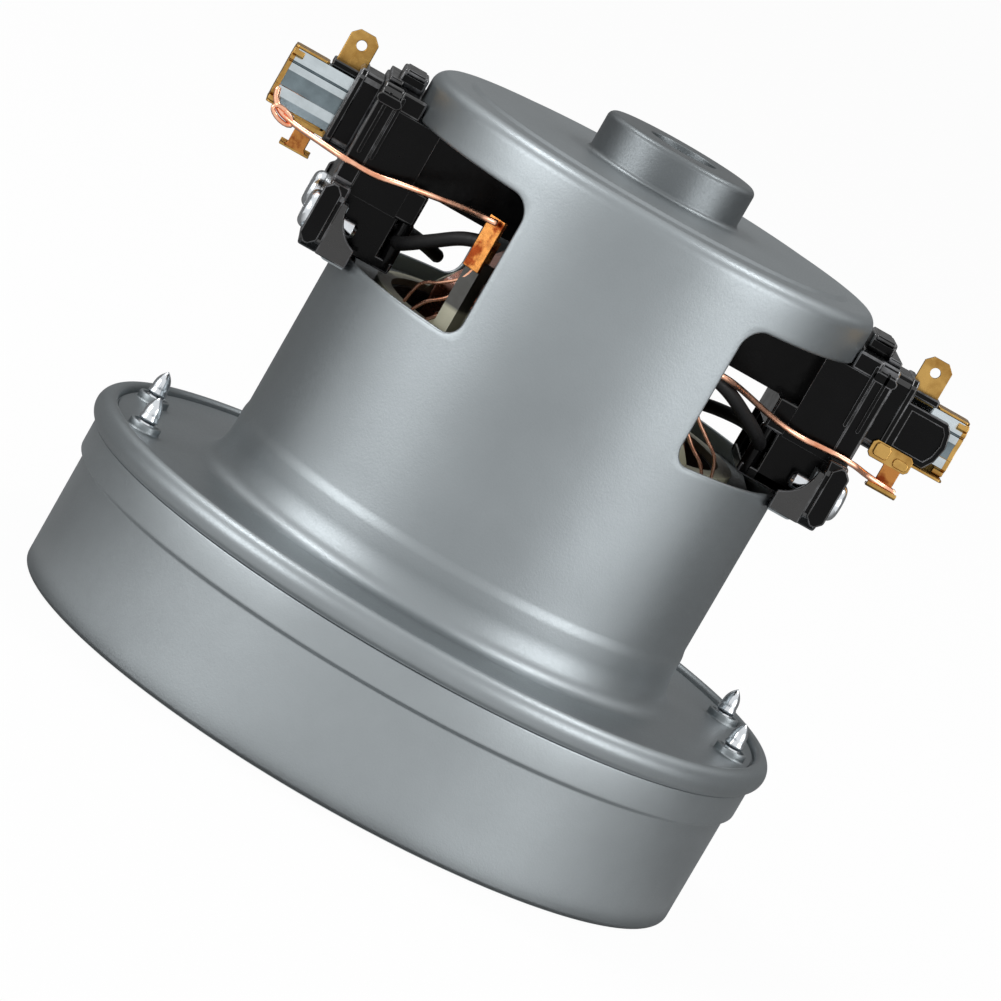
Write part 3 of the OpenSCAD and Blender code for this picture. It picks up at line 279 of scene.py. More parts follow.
# Drawn and turned metal has its grain stretched. The can's boss and the former's top are darker.
LOOKS = {
    "can_steel": surface("satin_steel", srgb(140, 146, 149), 0.9, 0.41, 0.05, 0.05, 2600, 0.10, patch=60,
                         above=(0.1076, 0.0006, 0.55)),
    "cover_steel": surface("cover_steel", srgb(150, 156, 159), 0.9, 0.41, 0.05, 0.06, 2600, 0.10, patch=60),
    "bare_steel": surface("bare_steel", srgb(176, 180, 182), 1.0, 0.28, 0.08, 0.1, 1500, 0.08,
                          stretch=(1, 1, 0.1)),
    "lamination": surface("lamination", srgb(112, 116, 118), 0.8, 0.45, 0.1, 0.2, 1200, 0.3,
                          bands=("Z", 2000, 1.2, srgb(50, 50, 50))),
    "bright_zinc": surface("bright_zinc", srgb(214, 218, 222), 1.0, 0.16, 0.07, 0.1, 900, 0.12, patch=500),
    "tube_steel": surface("tube_steel", srgb(190, 199, 203), 1.0, 0.2, 0.06, 0.12, 700, 0.08, patch=300,
                          stretch=(0.1, 1, 1)),
    # A darker copy of the tube's steel for the faces of its rolled hollow and groove: painted shade
    "tube_hollow_painted_shade": surface("tube_hollow_painted_shade", srgb(112, 124, 129), 1.0, 0.22, 0.06, 0.25, 700, 0.08, patch=300,
                           stretch=(0.1, 1, 1)),
    "black_plastic": surface("black_plastic", srgb(8, 8, 9), 0.0, 0.2, 0.07, 0.3, 700, 0.10, patch=250,
                             gloss_level=0.1),
    # A lighter, glossier black for the plastic's rounded edges, broken into patches: painted highlights along
    # the edges
    "black_edge_painted_highlight": surface("black_edge_painted_highlight", srgb(16, 16, 17), 0.0, 0.16, 0.06, 0.2, 900, 0.10,
                          other=srgb(92, 93, 96), patch=230, gloss_level=0.75, spread=(0.45, 0.62)),
    # A glossier black for the gussets, also lighter in colour than the plastic: the lighter colour is a
    # painted reflection of the floor
    "glossy_black_painted_reflection": surface("glossy_black_painted_reflection", srgb(24, 23, 23), 0.0, 0.3, 0.08, 0.3, 700, 0.10, patch=250,
                           gloss_level=0.7),
    "cream_plastic": surface("cream_plastic", srgb(164, 162, 140), 0.0, 0.45, 0.1, 0.15, 900, 0.1,
                             above=(0.0762, 0.0008, 0.05)),
    "rubber": surface("rubber", srgb(15, 15, 16), 0.0, 0.5, 0.1, 0.2, 1500, 0.25, gloss_level=0.25),
    "brass": surface("brass", srgb(186, 148, 84), 1.0, 0.3, 0.08, 0.12, 900, 0.12, other=srgb(140, 100, 46),
                     patch=300, spread=(0.42, 0.78)),
    "warm_brass": surface("warm_brass", srgb(176, 118, 62), 1.0, 0.26, 0.08, 0.12, 900, 0.12,
                          other=srgb(122, 54, 24), patch=380, spread=(0.46, 0.6)),
    "copper": surface("copper", srgb(238, 180, 150), 1.0, 0.24, 0.08, 0.1, 900, 0.1, other=srgb(206, 128, 92),
                      patch=260, spread=(0.5, 0.75)),
    "varnished_copper": surface("varnished_copper", srgb(112, 58, 32), 0.6, 0.3, 0.1, 0.3, 900, 0.2,
                                other=srgb(70, 34, 18), coat=0.5, coat_rough=0.12),
    "phenolic": surface("phenolic", srgb(74, 47, 34), 0.0, 0.4, 0.1, 0.2, 900, 0.15),
    "carbon": surface("carbon", srgb(52, 52, 55), 0.2, 0.5, 0.12, 0.25, 2200, 0.3),
    "aluminium": surface("aluminium", srgb(200, 203, 205), 1.0, 0.33, 0.08, 0.08, 1200, 0.12,
                         stretch=(1, 1, 0.1)),
}


# Mesh helpers

def mesh_object(name, verts, faces, angle=35):
    mesh = bpy.data.meshes.new(name)
    mesh.from_pydata([tuple(v) for v in verts], [], faces)
    bm = bmesh.new()
    bm.from_mesh(mesh)
    bmesh.ops.remove_doubles(bm, verts=bm.verts, dist=1e-7)
    bmesh.ops.recalc_face_normals(bm, faces=bm.faces)
    bm.to_mesh(mesh)
    bm.free()
    o = bpy.data.objects.new(name, mesh)
    scene.collection.objects.link(o)
    smooth(o, angle)
    return o


EDGE_ANGLE = 30


def smooth(o, angle=35):
    for p in o.data.polygons:
        p.use_smooth = True
    o.data.set_sharp_from_angle(angle=math.radians(angle))


def dress(o, body, slot, *nodes, look_name=None):
    """Gives a piece its material and its body, and hides the CAD nodes it stands for."""
    o.data.materials.clear()
    o.data.materials.append(LOOKS[look_name or slot])
    # A second material, where there is one, paints highlights on the rounded edges
    if "edge_look" in o:
        o.data.materials.append(LOOKS[o["edge_look"]])
    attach(o, body)
    if nodes:
        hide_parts(*nodes)


def arc(cx, cz, r, a0, a1, n):
    out = []
    for i in range(n + 1):
        a = math.radians(a0 + (a1 - a0) * i / n)
        out.append((cx + r * math.cos(a), cz + r * math.sin(a)))
    return out


def filleted(points):
    """A closed outline; a point is (x, z) or (x, z, fillet radius)."""
    out = []
    n = len(points)
    for i, p in enumerate(points):
        if len(p) < 3 or p[2] <= 0:
            out.append((p[0], p[1]))
            continue
        here = Vector(p[:2])
        a = Vector(points[i - 1][:2]) - here
        b = Vector(points[(i + 1) % n][:2]) - here
        bend = a.angle(b)
        if bend > math.radians(178):
            out.append((p[0], p[1]))
            continue
        cut = min(p[2] / math.tan(bend / 2), a.length * 0.49, b.length * 0.49)
        r = cut * math.tan(bend / 2)
        middle = here + (a.normalized() + b.normalized()).normalized() * (r / math.sin(bend / 2))
        start = here + a.normalized() * cut - middle
        end = here + b.normalized() * cut - middle
        turn = start.angle_signed(end)
        steps = max(2, int(abs(math.degrees(turn)) / 9))
        for k in range(steps + 1):
            w = -turn * k / steps
            c, s = math.cos(w), math.sin(w)
            out.append((middle.x + start.x * c - start.y * s, middle.y + start.x * s + start.y * c))
    return out


def lathe(name, outline, segments, centres=((0, 0),), angle=35):
    """Turns a closed outline in mm about the vertical line through each centre."""
    verts = []
    faces = []
    n = len(outline)
    for x, y in centres:
        first = len(verts)
        for i in range(segments):
            a = 2 * math.pi * i / segments
            for r, z in outline:
                verts.append(((x + r * math.cos(a)) * MM, (y + r * math.sin(a)) * MM, z * MM))
        for i in range(segments):
            j = (i + 1) % segments
            for k in range(n):
                m = (k + 1) % n
                faces.append((first + i * n + k, first + j * n + k, first + j * n + m, first + i * n + m))
    return mesh_object(name, verts, faces, angle)


def wire(name, path, radius, sides, taper=0.0):
    """A round wire in mm along a path, with rounded ends."""
    pts = [Vector(p) for p in path]
    count = len(pts)
    along = [(pts[min(i + 1, count - 1)] - pts[max(i - 1, 0)]).normalized() for i in range(count)]
    side = along[0].orthogonal().normalized()
    verts = []
    for i, p in enumerate(pts):
        side = (side - along[i] * side.dot(along[i])).normalized()
        up = along[i].cross(side)
        r = radius * (1 - taper if i in (0, count - 1) else 1)
        for k in range(sides):
            a = 2 * math.pi * k / sides
            verts.append((p + r * (math.cos(a) * side + math.sin(a) * up)) * MM)
    faces = []
    for i in range(count - 1):
        for k in range(sides):
            m = (k + 1) % sides
            faces.append((i * sides + k, i * sides + m, (i + 1) * sides + m, (i + 1) * sides + k))
    faces.append(tuple(reversed(range(sides))))
    faces.append(tuple(range((count - 1) * sides, count * sides)))
    return mesh_object(name, verts, faces, 60)


def joined(name, objects):
    """One piece from several, all of them meshes at the origin."""
    bm = bmesh.new()
    for o in objects:
        bm.from_mesh(o.data)
        bpy.data.objects.remove(o)
    mesh = bpy.data.meshes.new(name)
    bm.to_mesh(mesh)
    bm.free()
    o = bpy.data.objects.new(name, mesh)
    scene.collection.objects.link(o)
    return o


def eased(points):
    """A smooth path through the points."""
    steps = 6
    pts = [Vector(p) for p in points]
    out = []
    for i in range(len(pts) - 1):
        a, b, c, d = pts[max(i - 1, 0)], pts[i], pts[i + 1], pts[min(i + 2, len(pts) - 1)]
        for j in range(steps + (1 if i == len(pts) - 2 else 0)):
            t = j / steps
            out.append(b + t / 2 * (c - a) + t * t / 2 * (2 * a - 5 * b + 4 * c - d)
                       + t * t * t / 2 * (3 * b - a - 3 * c + d))
    return out


def rounded_edges(o, bevel, segments=2, edge_look=None):
    """Rounds the sharp edges, and gives them the second material where there is one, which paints highlights
    along them.
    """
    mod = o.modifiers.new("edges", "BEVEL")
    mod.width = bevel * MM
    mod.segments = segments
    mod.limit_method = "ANGLE"
    mod.angle_limit = math.radians(EDGE_ANGLE)
    mod.harden_normals = True
    mod.use_clamp_overlap = True
    if edge_look:
        mod.material = 1
        o["edge_look"] = edge_look
    return o


def from_node(node, name, bevel):
    """A copy of a CAD node's shape with rounded edges, to stand for it."""
    source = frame["nodes"][node]
    mesh = source.data.copy()
    mesh.name = name
    bm = bmesh.new()
    bm.from_mesh(mesh)
    bmesh.ops.remove_doubles(bm, verts=bm.verts, dist=2e-6)
    bmesh.ops.dissolve_limit(bm, angle_limit=math.radians(2), verts=bm.verts, edges=bm.edges)
    bm.to_mesh(mesh)
    bm.free()
    if mesh.has_custom_normals:
        mesh.attributes.remove(mesh.attributes["custom_normal"])
    o = bpy.data.objects.new(name, mesh)
    scene.collection.objects.link(o)
    smooth(o, EDGE_ANGLE)
    return rounded_edges(o, bevel)


AXES = {"x": lambda u, v, w: (w, u, v), "y": lambda u, v, w: (u, w, v), "z": lambda u, v, w: (u, v, w)}


def prism(name, axis, outline, low, high, hole=None, bevel=0.0, segments=3, edge_look=None):
    """Lays a closed outline in mm along an axis, with a hole where one is given, and rounds its edges."""
    place = AXES[axis]
    bm = bmesh.new()
    rings = []
    for w in (low, high):
        rings.append([[bm.verts.new([c * MM for c in place(u, v, w)]) for u, v in line]
                      for line in ([outline, hole] if hole else [outline])])
    for a, b in zip(*rings):
        for k in range(len(a)):
            m = (k + 1) % len(a)
            bm.faces.new((a[k], a[m], b[m], b[k]))
    for end in rings:
        if hole:
            edges = [bm.edges.get((p, q)) for line in end for p, q in zip(line, line[1:] + line[:1])]
            made = bmesh.ops.triangle_fill(bm, use_beauty=True, edges=edges)
            faces = [g for g in made["geom"] if isinstance(g, bmesh.types.BMFace)]
            inner = list(dict.fromkeys(e for f in faces for e in f.edges))
            bmesh.ops.dissolve_limit(bm, angle_limit=0.01, verts=[], edges=inner)
        else:
            bm.faces.new(end[0])
    bmesh.ops.recalc_face_normals(bm, faces=bm.faces)
    mesh = bpy.data.meshes.new(name)
    bm.to_mesh(mesh)
    bm.free()
    o = bpy.data.objects.new(name, mesh)
    scene.collection.objects.link(o)
    smooth(o)
    return rounded_edges(o, bevel, segments, edge_look) if bevel else o


def rectangle(u0, v0, u1, v1, cut=0.0):
    """A rectangle between two corners, with all four cut off by so much where given."""
    if not cut:
        return [(u0, v0), (u1, v0), (u1, v1), (u0, v1)]
    return [(u0 + cut, v0), (u1 - cut, v0), (u1, v0 + cut), (u1, v1 - cut), (u1 - cut, v1), (u0 + cut, v1),
            (u0, v1 - cut), (u0, v0 + cut)]


# Motor can

CAN_R, CAN_T = 42.4, 1.0
CAN_IN = CAN_R - CAN_T
WALL_Z0, WALL_Z1 = 70.0, 101.0
WINDOW_Z0, WINDOW_Z1 = 72.8, 98.2
WINDOW_HALF = 61.0
WINDOW_TOP_R, WINDOW_LOW_R = 3.8, 3.0
SWELL, SWELL_Z, SWELL_H, SWELL_STEPS = 0.3, 41.9, 2.2, 8
SEGMENTS = 240
PATCH_COLS = 88
PATCH_ROWS = 20


def can_outline():
    """The can's outline in (radius, height), and where its rows begin on the outside and on the inside."""
    rows = [WALL_Z1 - (WALL_Z1 - WALL_Z0) * k / PATCH_ROWS for k in range(PATCH_ROWS + 1)]
    outside = filleted([
        (6.2, 114.7, 0.25), (14.05, 114.7, 1.2), (14.05, 107.4, 1.0), (35.2, 107.2, 1.4), (36.4, 106.62, 1.2),
        (CAN_R, 106.6, 5.0), (CAN_R, 101.2), (30, 101.2), (6.2, 101.2)])
    outside = [p for p in outside if p[1] > 101.21]
    swell = []
    for k in range(SWELL_STEPS + 1):
        out = SWELL * (1 - math.cos(math.pi * k / SWELL_STEPS)) / 2
        swell.append((CAN_R + out, SWELL_Z - SWELL_H * k / SWELL_STEPS))
    foot = arc(54.70, 37.27, 12.0, 180, 197, 8) + arc(46.95, 34.90, 3.9, 197, 270, 16)[1:]
    bead = [(61.2, 31.0), (61.45, 30.9), (61.6, 30.62), (61.78, 30.6)]
    bead += arc(62.88, 31.04, 1.0, 183, 70, 10) + arc(62.3, 29.445, 2.7, 70, -56.25, 24)[1:]
    skirt = [(63.75, 27.05), (63.68, 27.0), (62.75, 27.0), (62.7, 27.05), (62.7, 29.6), (62.3, 30.0)]
    inside = arc(46.95, 34.90, 4.9, 270, 197, 12) + arc(54.70, 37.27, 13.0, 197, 180, 6)[1:]
    inside += [(r - CAN_T, z) for r, z in reversed(swell)]
    top_in = arc(37.4, 101.6, 4.0, 0, 90, 10)
    cap_in = [(13.6, 105.9), (13.05, 106.4), (13.05, 113.3), (12.7, 113.7), (6.2, 113.7)]
    points = outside
    outer_first = len(points)
    points += [(CAN_R, z) for z in rows]
    points += [(CAN_R, 62.0), (CAN_R, 54.0), (CAN_R, 46.0)] + swell + foot + bead + skirt
    points += inside + [(CAN_IN, 50.0), (CAN_IN, 60.0)]
    inner_first = len(points)
    points += [(CAN_IN, z) for z in reversed(rows)]
    points += top_in + cap_in
    return points, outer_first, inner_first


def window_ring(inset):
    """The window's edge as (arc length, height) about its middle, moved outward by inset.

    It has as many points as the patch's rim, and starts at the same corner."""
    half = math.radians(WINDOW_HALF) * CAN_R + inset
    z0, z1 = WINDOW_Z0 - inset, WINDOW_Z1 + inset
    top, low = WINDOW_TOP_R + inset, WINDOW_LOW_R + inset
    # Cells of the patch's rim that half a corner takes up
    cell = 4
    cols, rows = PATCH_COLS, PATCH_ROWS
    ring = []

    def corner(cx, cz, r, a0, a1, first, count):
        for k in range(count):
            a = math.radians(a0 + (a1 - a0) * (first + k) / (2 * cell))
            ring.append((cx + r * math.cos(a), cz + r * math.sin(a)))

    def straight(p, q, count):
        for k in range(count):
            w = k / count
            ring.append((p[0] + (q[0] - p[0]) * w, p[1] + (q[1] - p[1]) * w))

    corner(-half + top, z1 - top, top, 180, 90, cell, cell)
    straight((-half + top, z1), (half - top, z1), cols - 2 * cell)
    corner(half - top, z1 - top, top, 90, 0, 0, 2 * cell)
    straight((half, z1 - top), (half, z0 + low), rows - 2 * cell)
    corner(half - low, z0 + low, low, 0, -90, 0, 2 * cell)
    straight((half - low, z0), (-half + low, z0), cols - 2 * cell)
    corner(-half + low, z0 + low, low, -90, -180, 0, 2 * cell)
    straight((-half, z0 + low), (-half, z1 - top), rows - 2 * cell)
    corner(-half + top, z1 - top, top, 180, 90, 0, cell)
    return ring


def build_can():
    """The can turned about Z, with a patch of its wall at each side redrawn round a window."""
    outline, outer_first, inner_first = can_outline()
    n = len(outline)
    verts = []
    faces = []

    def at(r, a, z):
        verts.append((r * math.cos(a) * MM, r * math.sin(a) * MM, z * MM))
        return len(verts) - 1

    for i in range(SEGMENTS):
        a = 2 * math.pi * i / SEGMENTS
        for r, z in outline:
            at(r, a, z)
    half_cols = PATCH_COLS // 2

    def in_patch(i):
        for middle in (0, SEGMENTS // 2):
            d = (i - middle) % SEGMENTS
            if d < half_cols or d >= SEGMENTS - half_cols:
                return True
        return False

    for i in range(SEGMENTS):
        j = (i + 1) % SEGMENTS
        for k in range(n):
            wall = outer_first <= k < outer_first + PATCH_ROWS or inner_first <= k < inner_first + PATCH_ROWS
            if wall and in_patch(i):
                continue
            m = (k + 1) % n
            faces.append((i * n + k, j * n + k, j * n + m, i * n + m))

    for middle in (0, SEGMENTS // 2):
        centre = 2 * math.pi * middle / SEGMENTS

        def rim(first, down):
            """Vertices round the patch, clockwise from its upper left, for rows that run down or up."""
            def vertex(col, row):
                i = (middle - half_cols + col) % SEGMENTS
                return i * n + first + (row if down else PATCH_ROWS - row)
            loop = [vertex(c, 0) for c in range(PATCH_COLS)]
            loop += [vertex(PATCH_COLS, r) for r in range(PATCH_ROWS)]
            loop += [vertex(PATCH_COLS - c, PATCH_ROWS) for c in range(PATCH_COLS)]
            loop += [vertex(0, PATCH_ROWS - r) for r in range(PATCH_ROWS)]
            return loop

        hole = window_ring(CAN_T / 2)
        edge = window_ring(0)
        count = len(hole)

        def flat(v):
            a = math.atan2(verts[v][1], verts[v][0]) - centre
            a = (a + math.pi) % (2 * math.pi) - math.pi
            return a * CAN_R, verts[v][2] / MM

        def loft(loop, radius, steps):
            rings = [loop]
            start = [flat(v) for v in loop]
            for s in range(1, steps + 1):
                w = s / steps
                ring = []
                for p, q in zip(start, hole):
                    u = p[0] + (q[0] - p[0]) * w
                    z = p[1] + (q[1] - p[1]) * w
                    ring.append(at(radius, centre + u / CAN_R, z))
                rings.append(ring)
            return rings

        def bridge(a, b):
            for k in range(count):
                m = (k + 1) % count
                faces.append((a[k], a[m], b[m], b[k]))

        outer = loft(rim(outer_first, True), CAN_R, 4)
        inner = loft(rim(inner_first, False), CAN_IN, 4)
        for rings in (outer, inner):
            for a, b in zip(rings, rings[1:]):
                bridge(a, b)
        last = outer[-1]
        steps = 6
        for s in range(1, steps):
            w = math.pi * s / steps
            ring = []
            for p, q in zip(hole, edge):
                u = p[0] + (q[0] - p[0]) * math.sin(w)
                z = p[1] + (q[1] - p[1]) * math.sin(w)
                ring.append(at((CAN_R + CAN_IN) / 2 + CAN_T / 2 * math.cos(w), centre + u / CAN_R, z))
            bridge(last, ring)
            last = ring
        bridge(last, inner[-1])
    return mesh_object("can_shell", verts, faces, 40)


dress(build_can(), "housing", "can_steel", "motor_can")

# Flange screws, whose tips come up through lipped holes
SCREW_CIRCLE, SCREW_TURN = 57.8, 13.8
screw_places = []
for turn in (-SCREW_TURN, SCREW_TURN, 180 - SCREW_TURN, 180 + SCREW_TURN):
    a = math.radians(turn)
    screw_places.append((SCREW_CIRCLE * math.cos(a), SCREW_CIRCLE * math.sin(a)))
collar_outline = filleted([
    (1.85, 30.6), (3.5, 30.6), (3.5, 31.02, 0.2), (2.86, 31.06, 0.5), (2.8, 32.4, 0.35), (2.27, 32.4, 0.2),
    (1.85, 31.5, 0.3)])
for k, place in enumerate(screw_places):
    dress(lathe("screw_collar_%d" % k, collar_outline, 64, (place,)), "housing", "can_steel")

THREAD_Z, PITCH, TURNS = 26.0, 1.3, 6
TIP_Z, TIP_H, TIP_R, TIP_STEPS = 33.8, 3.4, 1.5, 14
thread = []
for k in range(TURNS):
    z = THREAD_Z + PITCH * k
    thread += [(1.4, z), (1.72, z + 0.5), (1.75, z + 0.65), (1.72, z + 0.8)]
tip = []
for k in range(TIP_STEPS + 1):
    w = k / TIP_STEPS
    tip.append((max(0.0, TIP_R * (1 - w ** 2.7)), TIP_Z + TIP_H * w))
screws = lathe("flange_screw_set", filleted([
    (0, 18.7), (2.7, 18.7, 0.8), (2.7, 20.7, 0.1), (1.4, 20.7, 0.15)] + thread + tip), 48, screw_places, 50)
dress(screws, "housing", "bright_zinc", "flange_screws")

# Ears bent out of the can under each window, which hold the holders' screws
PLATE_X0 = 45.6
EAR_W, EAR_Y, EAR_X0, EAR_Z0, EAR_Z1 = 4.6, 13.0, 40.6, 70.8, 80.4
ear_outline = filleted([
    (EAR_X0, EAR_Z0 + 1), (PLATE_X0 - 1, EAR_Z0 + 1, 0.6), (PLATE_X0 - 1, EAR_Z1, 0.2),
    (PLATE_X0, EAR_Z1, 0.2), (PLATE_X0, EAR_Z0 + 1, 1.4), (PLATE_X0 - 1.2, EAR_Z0, 1.2), (EAR_X0, EAR_Z0)])
for side in (0, 180):
    for s in (-1, 1):
        name = "can_ear_%d_%d" % (side, s)
        ear = prism(name, "y", ear_outline, s * EAR_Y - EAR_W / 2, s * EAR_Y + EAR_W / 2)
        ear.data.transform(Matrix.Rotation(math.radians(side), 4, "Z"))
        dress(ear, "housing", "can_steel")

# Fan cover

EYE_R, COVER_R, RING_R, COVER_T = 18.0, 62.4, 63.5, 0.8
cover = lathe("cover_shell", filleted([
    (EYE_R, 4.4, 0.3), (EYE_R, 0.0, 1.2), (COVER_R - 2, 0.0), (COVER_R, 0.0, 2.0), (COVER_R, 20.7, 0.5),
    (RING_R, 21.5, 0.6), (RING_R, 26.9, 0.3), (62.6, 26.9, 0.2), (62.6, 29.95, 0.1), (61.8, 29.95, 0.1),
    (61.8, 26.1, 0.2), (RING_R - COVER_T, 26.1, 0.2), (RING_R - COVER_T, 21.8, 0.3),
    (COVER_R - COVER_T, 21.1, 0.3), (COVER_R - COVER_T, COVER_T, 1.2), (EYE_R + COVER_T, COVER_T, 0.4),
    (EYE_R + COVER_T, 4.4, 0.3)]), SEGMENTS)
dress(cover, "housing", "cover_steel", "fan_cover")

# Holders, tubes, clips, tabs, terminals and screws with rounded edges

BRUSH_Z = 93.1
TUBE_X0, TUBE_END = 14.6, 64.2


def raised(outline):
    """The outline, drawn in (y, z) about the brush tube's axis, in its place."""
    return [(y, z + BRUSH_Z) for y, z in outline]


# The tube's outline in (y, z) about its axis: cut corners, and a rolled groove and hollow in each side
HALF_W, HALF_H, CORNER = 4.03, 4.93, 1.5
side_line = [(0, -3.43), (0, -2.0), (0.1, -1.75), (0, -1.6)]
side_line += [(0.42 * math.sin(math.pi * k / 8), -1.5 + 3.1 * k / 8) for k in range(1, 8)]
side_line += [(0, 1.7), (0, 2.5), (0.3, 2.62), (0.34, 2.72), (0.3, 2.84), (0, 2.96), (0, 3.43)]
tube_edge = [(HALF_W - d, z) for d, z in side_line]
tube_edge += [(HALF_W - CORNER, HALF_H), (CORNER - HALF_W, HALF_H)]
tube_edge += [(d - HALF_W, z) for d, z in reversed(side_line)]
tube_edge += [(CORNER - HALF_W, -HALF_H), (HALF_W - CORNER, -HALF_H)]
TUBE_LINE = raised(tube_edge)
TUBE_BORE = raised(rectangle(-3.33, -4.23, 3.33, 4.23, 1.1))


def turned(o, side):
    """Turns a piece drawn on the side of +X to its own side."""
    if side == "left":
        o.data.transform(Matrix.Rotation(math.pi, 4, "Z"))
    return o


# Brush holders, drawn on the side of +X
PLATE_X1, WING_Y, BLOCK_Y, COLLAR_X1 = 49.3, 16.5, 11.0, 53.8
HOLDER_Z0, HOLDER_Z1, WING_Z1 = 71.0, 101.3, 83.2
BLOCK_Z0, BLOCK_Z1, BLOCK_X1, BODY_X1, SEAT_R = 82.0, 97.9, 45.8, 45.9, 42.7
BORE = raised(rectangle(-4.08, -4.98, 4.08, 4.98, CORNER))
# The material of the holders' rounded edges, a lighter black that paints highlights on them
EDGE_HIGHLIGHT = "black_edge_painted_highlight"


def against_can(half_y, x1):
    """An outline in (x, y) whose inner side follows the can's wall."""
    a = math.degrees(math.asin(half_y / SEAT_R))
    return arc(0, 0, SEAT_R, -a, a, 16) + [(x1, half_y), (x1, -half_y)]


def holder_pieces(side):
    """The plate, the body behind it, its bars and rims, and the collar and guard round the tube."""
    def piece(part, axis, outline, low, high, bevel, hole=None, segments=3):
        return prism("holder_%s_%s" % (side, part), axis, outline, low, high, hole, bevel, segments, EDGE_HIGHLIGHT)

    half = [(WING_Y - 2, HOLDER_Z0), (WING_Y, HOLDER_Z0 + 2), (WING_Y, WING_Z1 - 2), (WING_Y - 2, WING_Z1),
            (BLOCK_Y, WING_Z1), (BLOCK_Y, HOLDER_Z1 - 1), (BLOCK_Y - 1, HOLDER_Z1)]
    plate = half + [(-y, z) for y, z in reversed(half)]
    yield piece("plate", "x", plate, PLATE_X0, PLATE_X1, 0.5, BORE)
    yield piece("lower_body", "z", against_can(10.3, BODY_X1), HOLDER_Z0 + 0.3, BLOCK_Z0 + 0.2, 0.35)
    yield piece("upper_body", "z", against_can(BLOCK_Y - 0.1, BODY_X1), BLOCK_Z1 - 0.1, HOLDER_Z1 - 0.1, 0.45)
    yield piece("block", "x", rectangle(-BLOCK_Y, BLOCK_Z0, BLOCK_Y, BLOCK_Z1), 37.0, BLOCK_X1, 0.45, BORE)
    yield piece("foot", "x", rectangle(-BLOCK_Y + 0.05, BLOCK_Z0 + 0.05, BLOCK_Y - 0.05, 87.9), 33.6, 40, 0.5)
    yield piece("floor", "x", rectangle(-10.4, 73.1, 10.4, 75.1), 33.5, BLOCK_X1, 0.3)
    yield piece("sleeve", "x", rectangle(-4.83, 87.37, 4.83, BLOCK_Z1), 15.8, 37.4, 0.3, BORE)
    gusset = [(46.0, 71.2), (40.4, 71.2)] + arc(38.4, 80.7, 6.4, 288, 360, 10) + [(46.0, 80.7)]
    for s in (-1, 1):
        low, high = sorted((s * 9.1, s * 10.4))
        yield piece("rib_%d" % s, "x", rectangle(low, 73.2, high, 83), 36.4, BLOCK_X1, 0.3)
        low, high = sorted((s * 15.4, s * 16.4))
        yield piece("gusset_%d" % s, "y", gusset, low, high, 0.25)
        low, high = sorted((s * 15.9, s * 16.8))
        yield piece("wing_bar_%d" % s, "y", rectangle(46.6, 71.9, 49.9, 83.0, 1.2), low, high, 0.3)
        low, high = sorted((s * 10.9, s * 11.4))
        for k, x in enumerate((44.9, 47.3)):
            line = rectangle(x, 88.6, x + 0.7, 100.2, 0.25)
            yield piece("line_%d_%d" % (k, s), "y", line, low, high, 0.15, segments=2)
        brow = rectangle(45.0, 97.7, 49.6, 99.6, 0.6)
        yield piece("brow_%d" % s, "y", brow, low, high + 0.2 * (s > 0), 0.25, segments=2)
    yield piece("crest", "x", rectangle(-4.5, 101.0, 4.5, 104.2, 0.6), 42.8, 47.4, 0.45)
    yield piece("crest_rim", "x", rectangle(-5.0, 103.2, 5.0, 104.3, 0.4), 43.4, 46.8, 0.3)
    yield piece("step", "x", rectangle(-8.4, 101.1, 8.4, 102.3, 0.4), 46.6, 49.0, 0.3)
    collar = rectangle(-6.23, 86.57, 6.23, 100.63, 1.2)
    yield piece("collar", "x", collar, PLATE_X1 - 0.2, COLLAR_X1, 0.5, BORE)
    rim = rectangle(-6.45, 86.35, 6.45, 100.85, 1.3)
    yield piece("collar_rim", "x", rim, COLLAR_X1 - 1.5, COLLAR_X1 - 0.2, 0.35, BORE)
    wall = [(COLLAR_X1 - 1, 88.27), (61.0, 88.27), (62.2, 90.17), (62.8, BRUSH_Z), (62.2, 95.83),
            (61.2, 97.03), (COLLAR_X1 - 1, 97.03)]
    panel = [(COLLAR_X1 + 1, 89.4), (60.4, 89.4), (61.3, 90.9), (61.7, BRUSH_Z), (61.3, 95.0), (60.6, 95.9),
             (COLLAR_X1 + 1, 95.9)]
    yield piece("wall", "y", wall, -5.7, -4.13, 0.3)
    yield piece("wall_rim", "y", wall, -6.13, -5.5, 0.22, panel)
    yield piece("shelf", "y", rectangle(PLATE_X1, 98.13, 58.3, 99.43), -4.63, 1.0, 0.3)


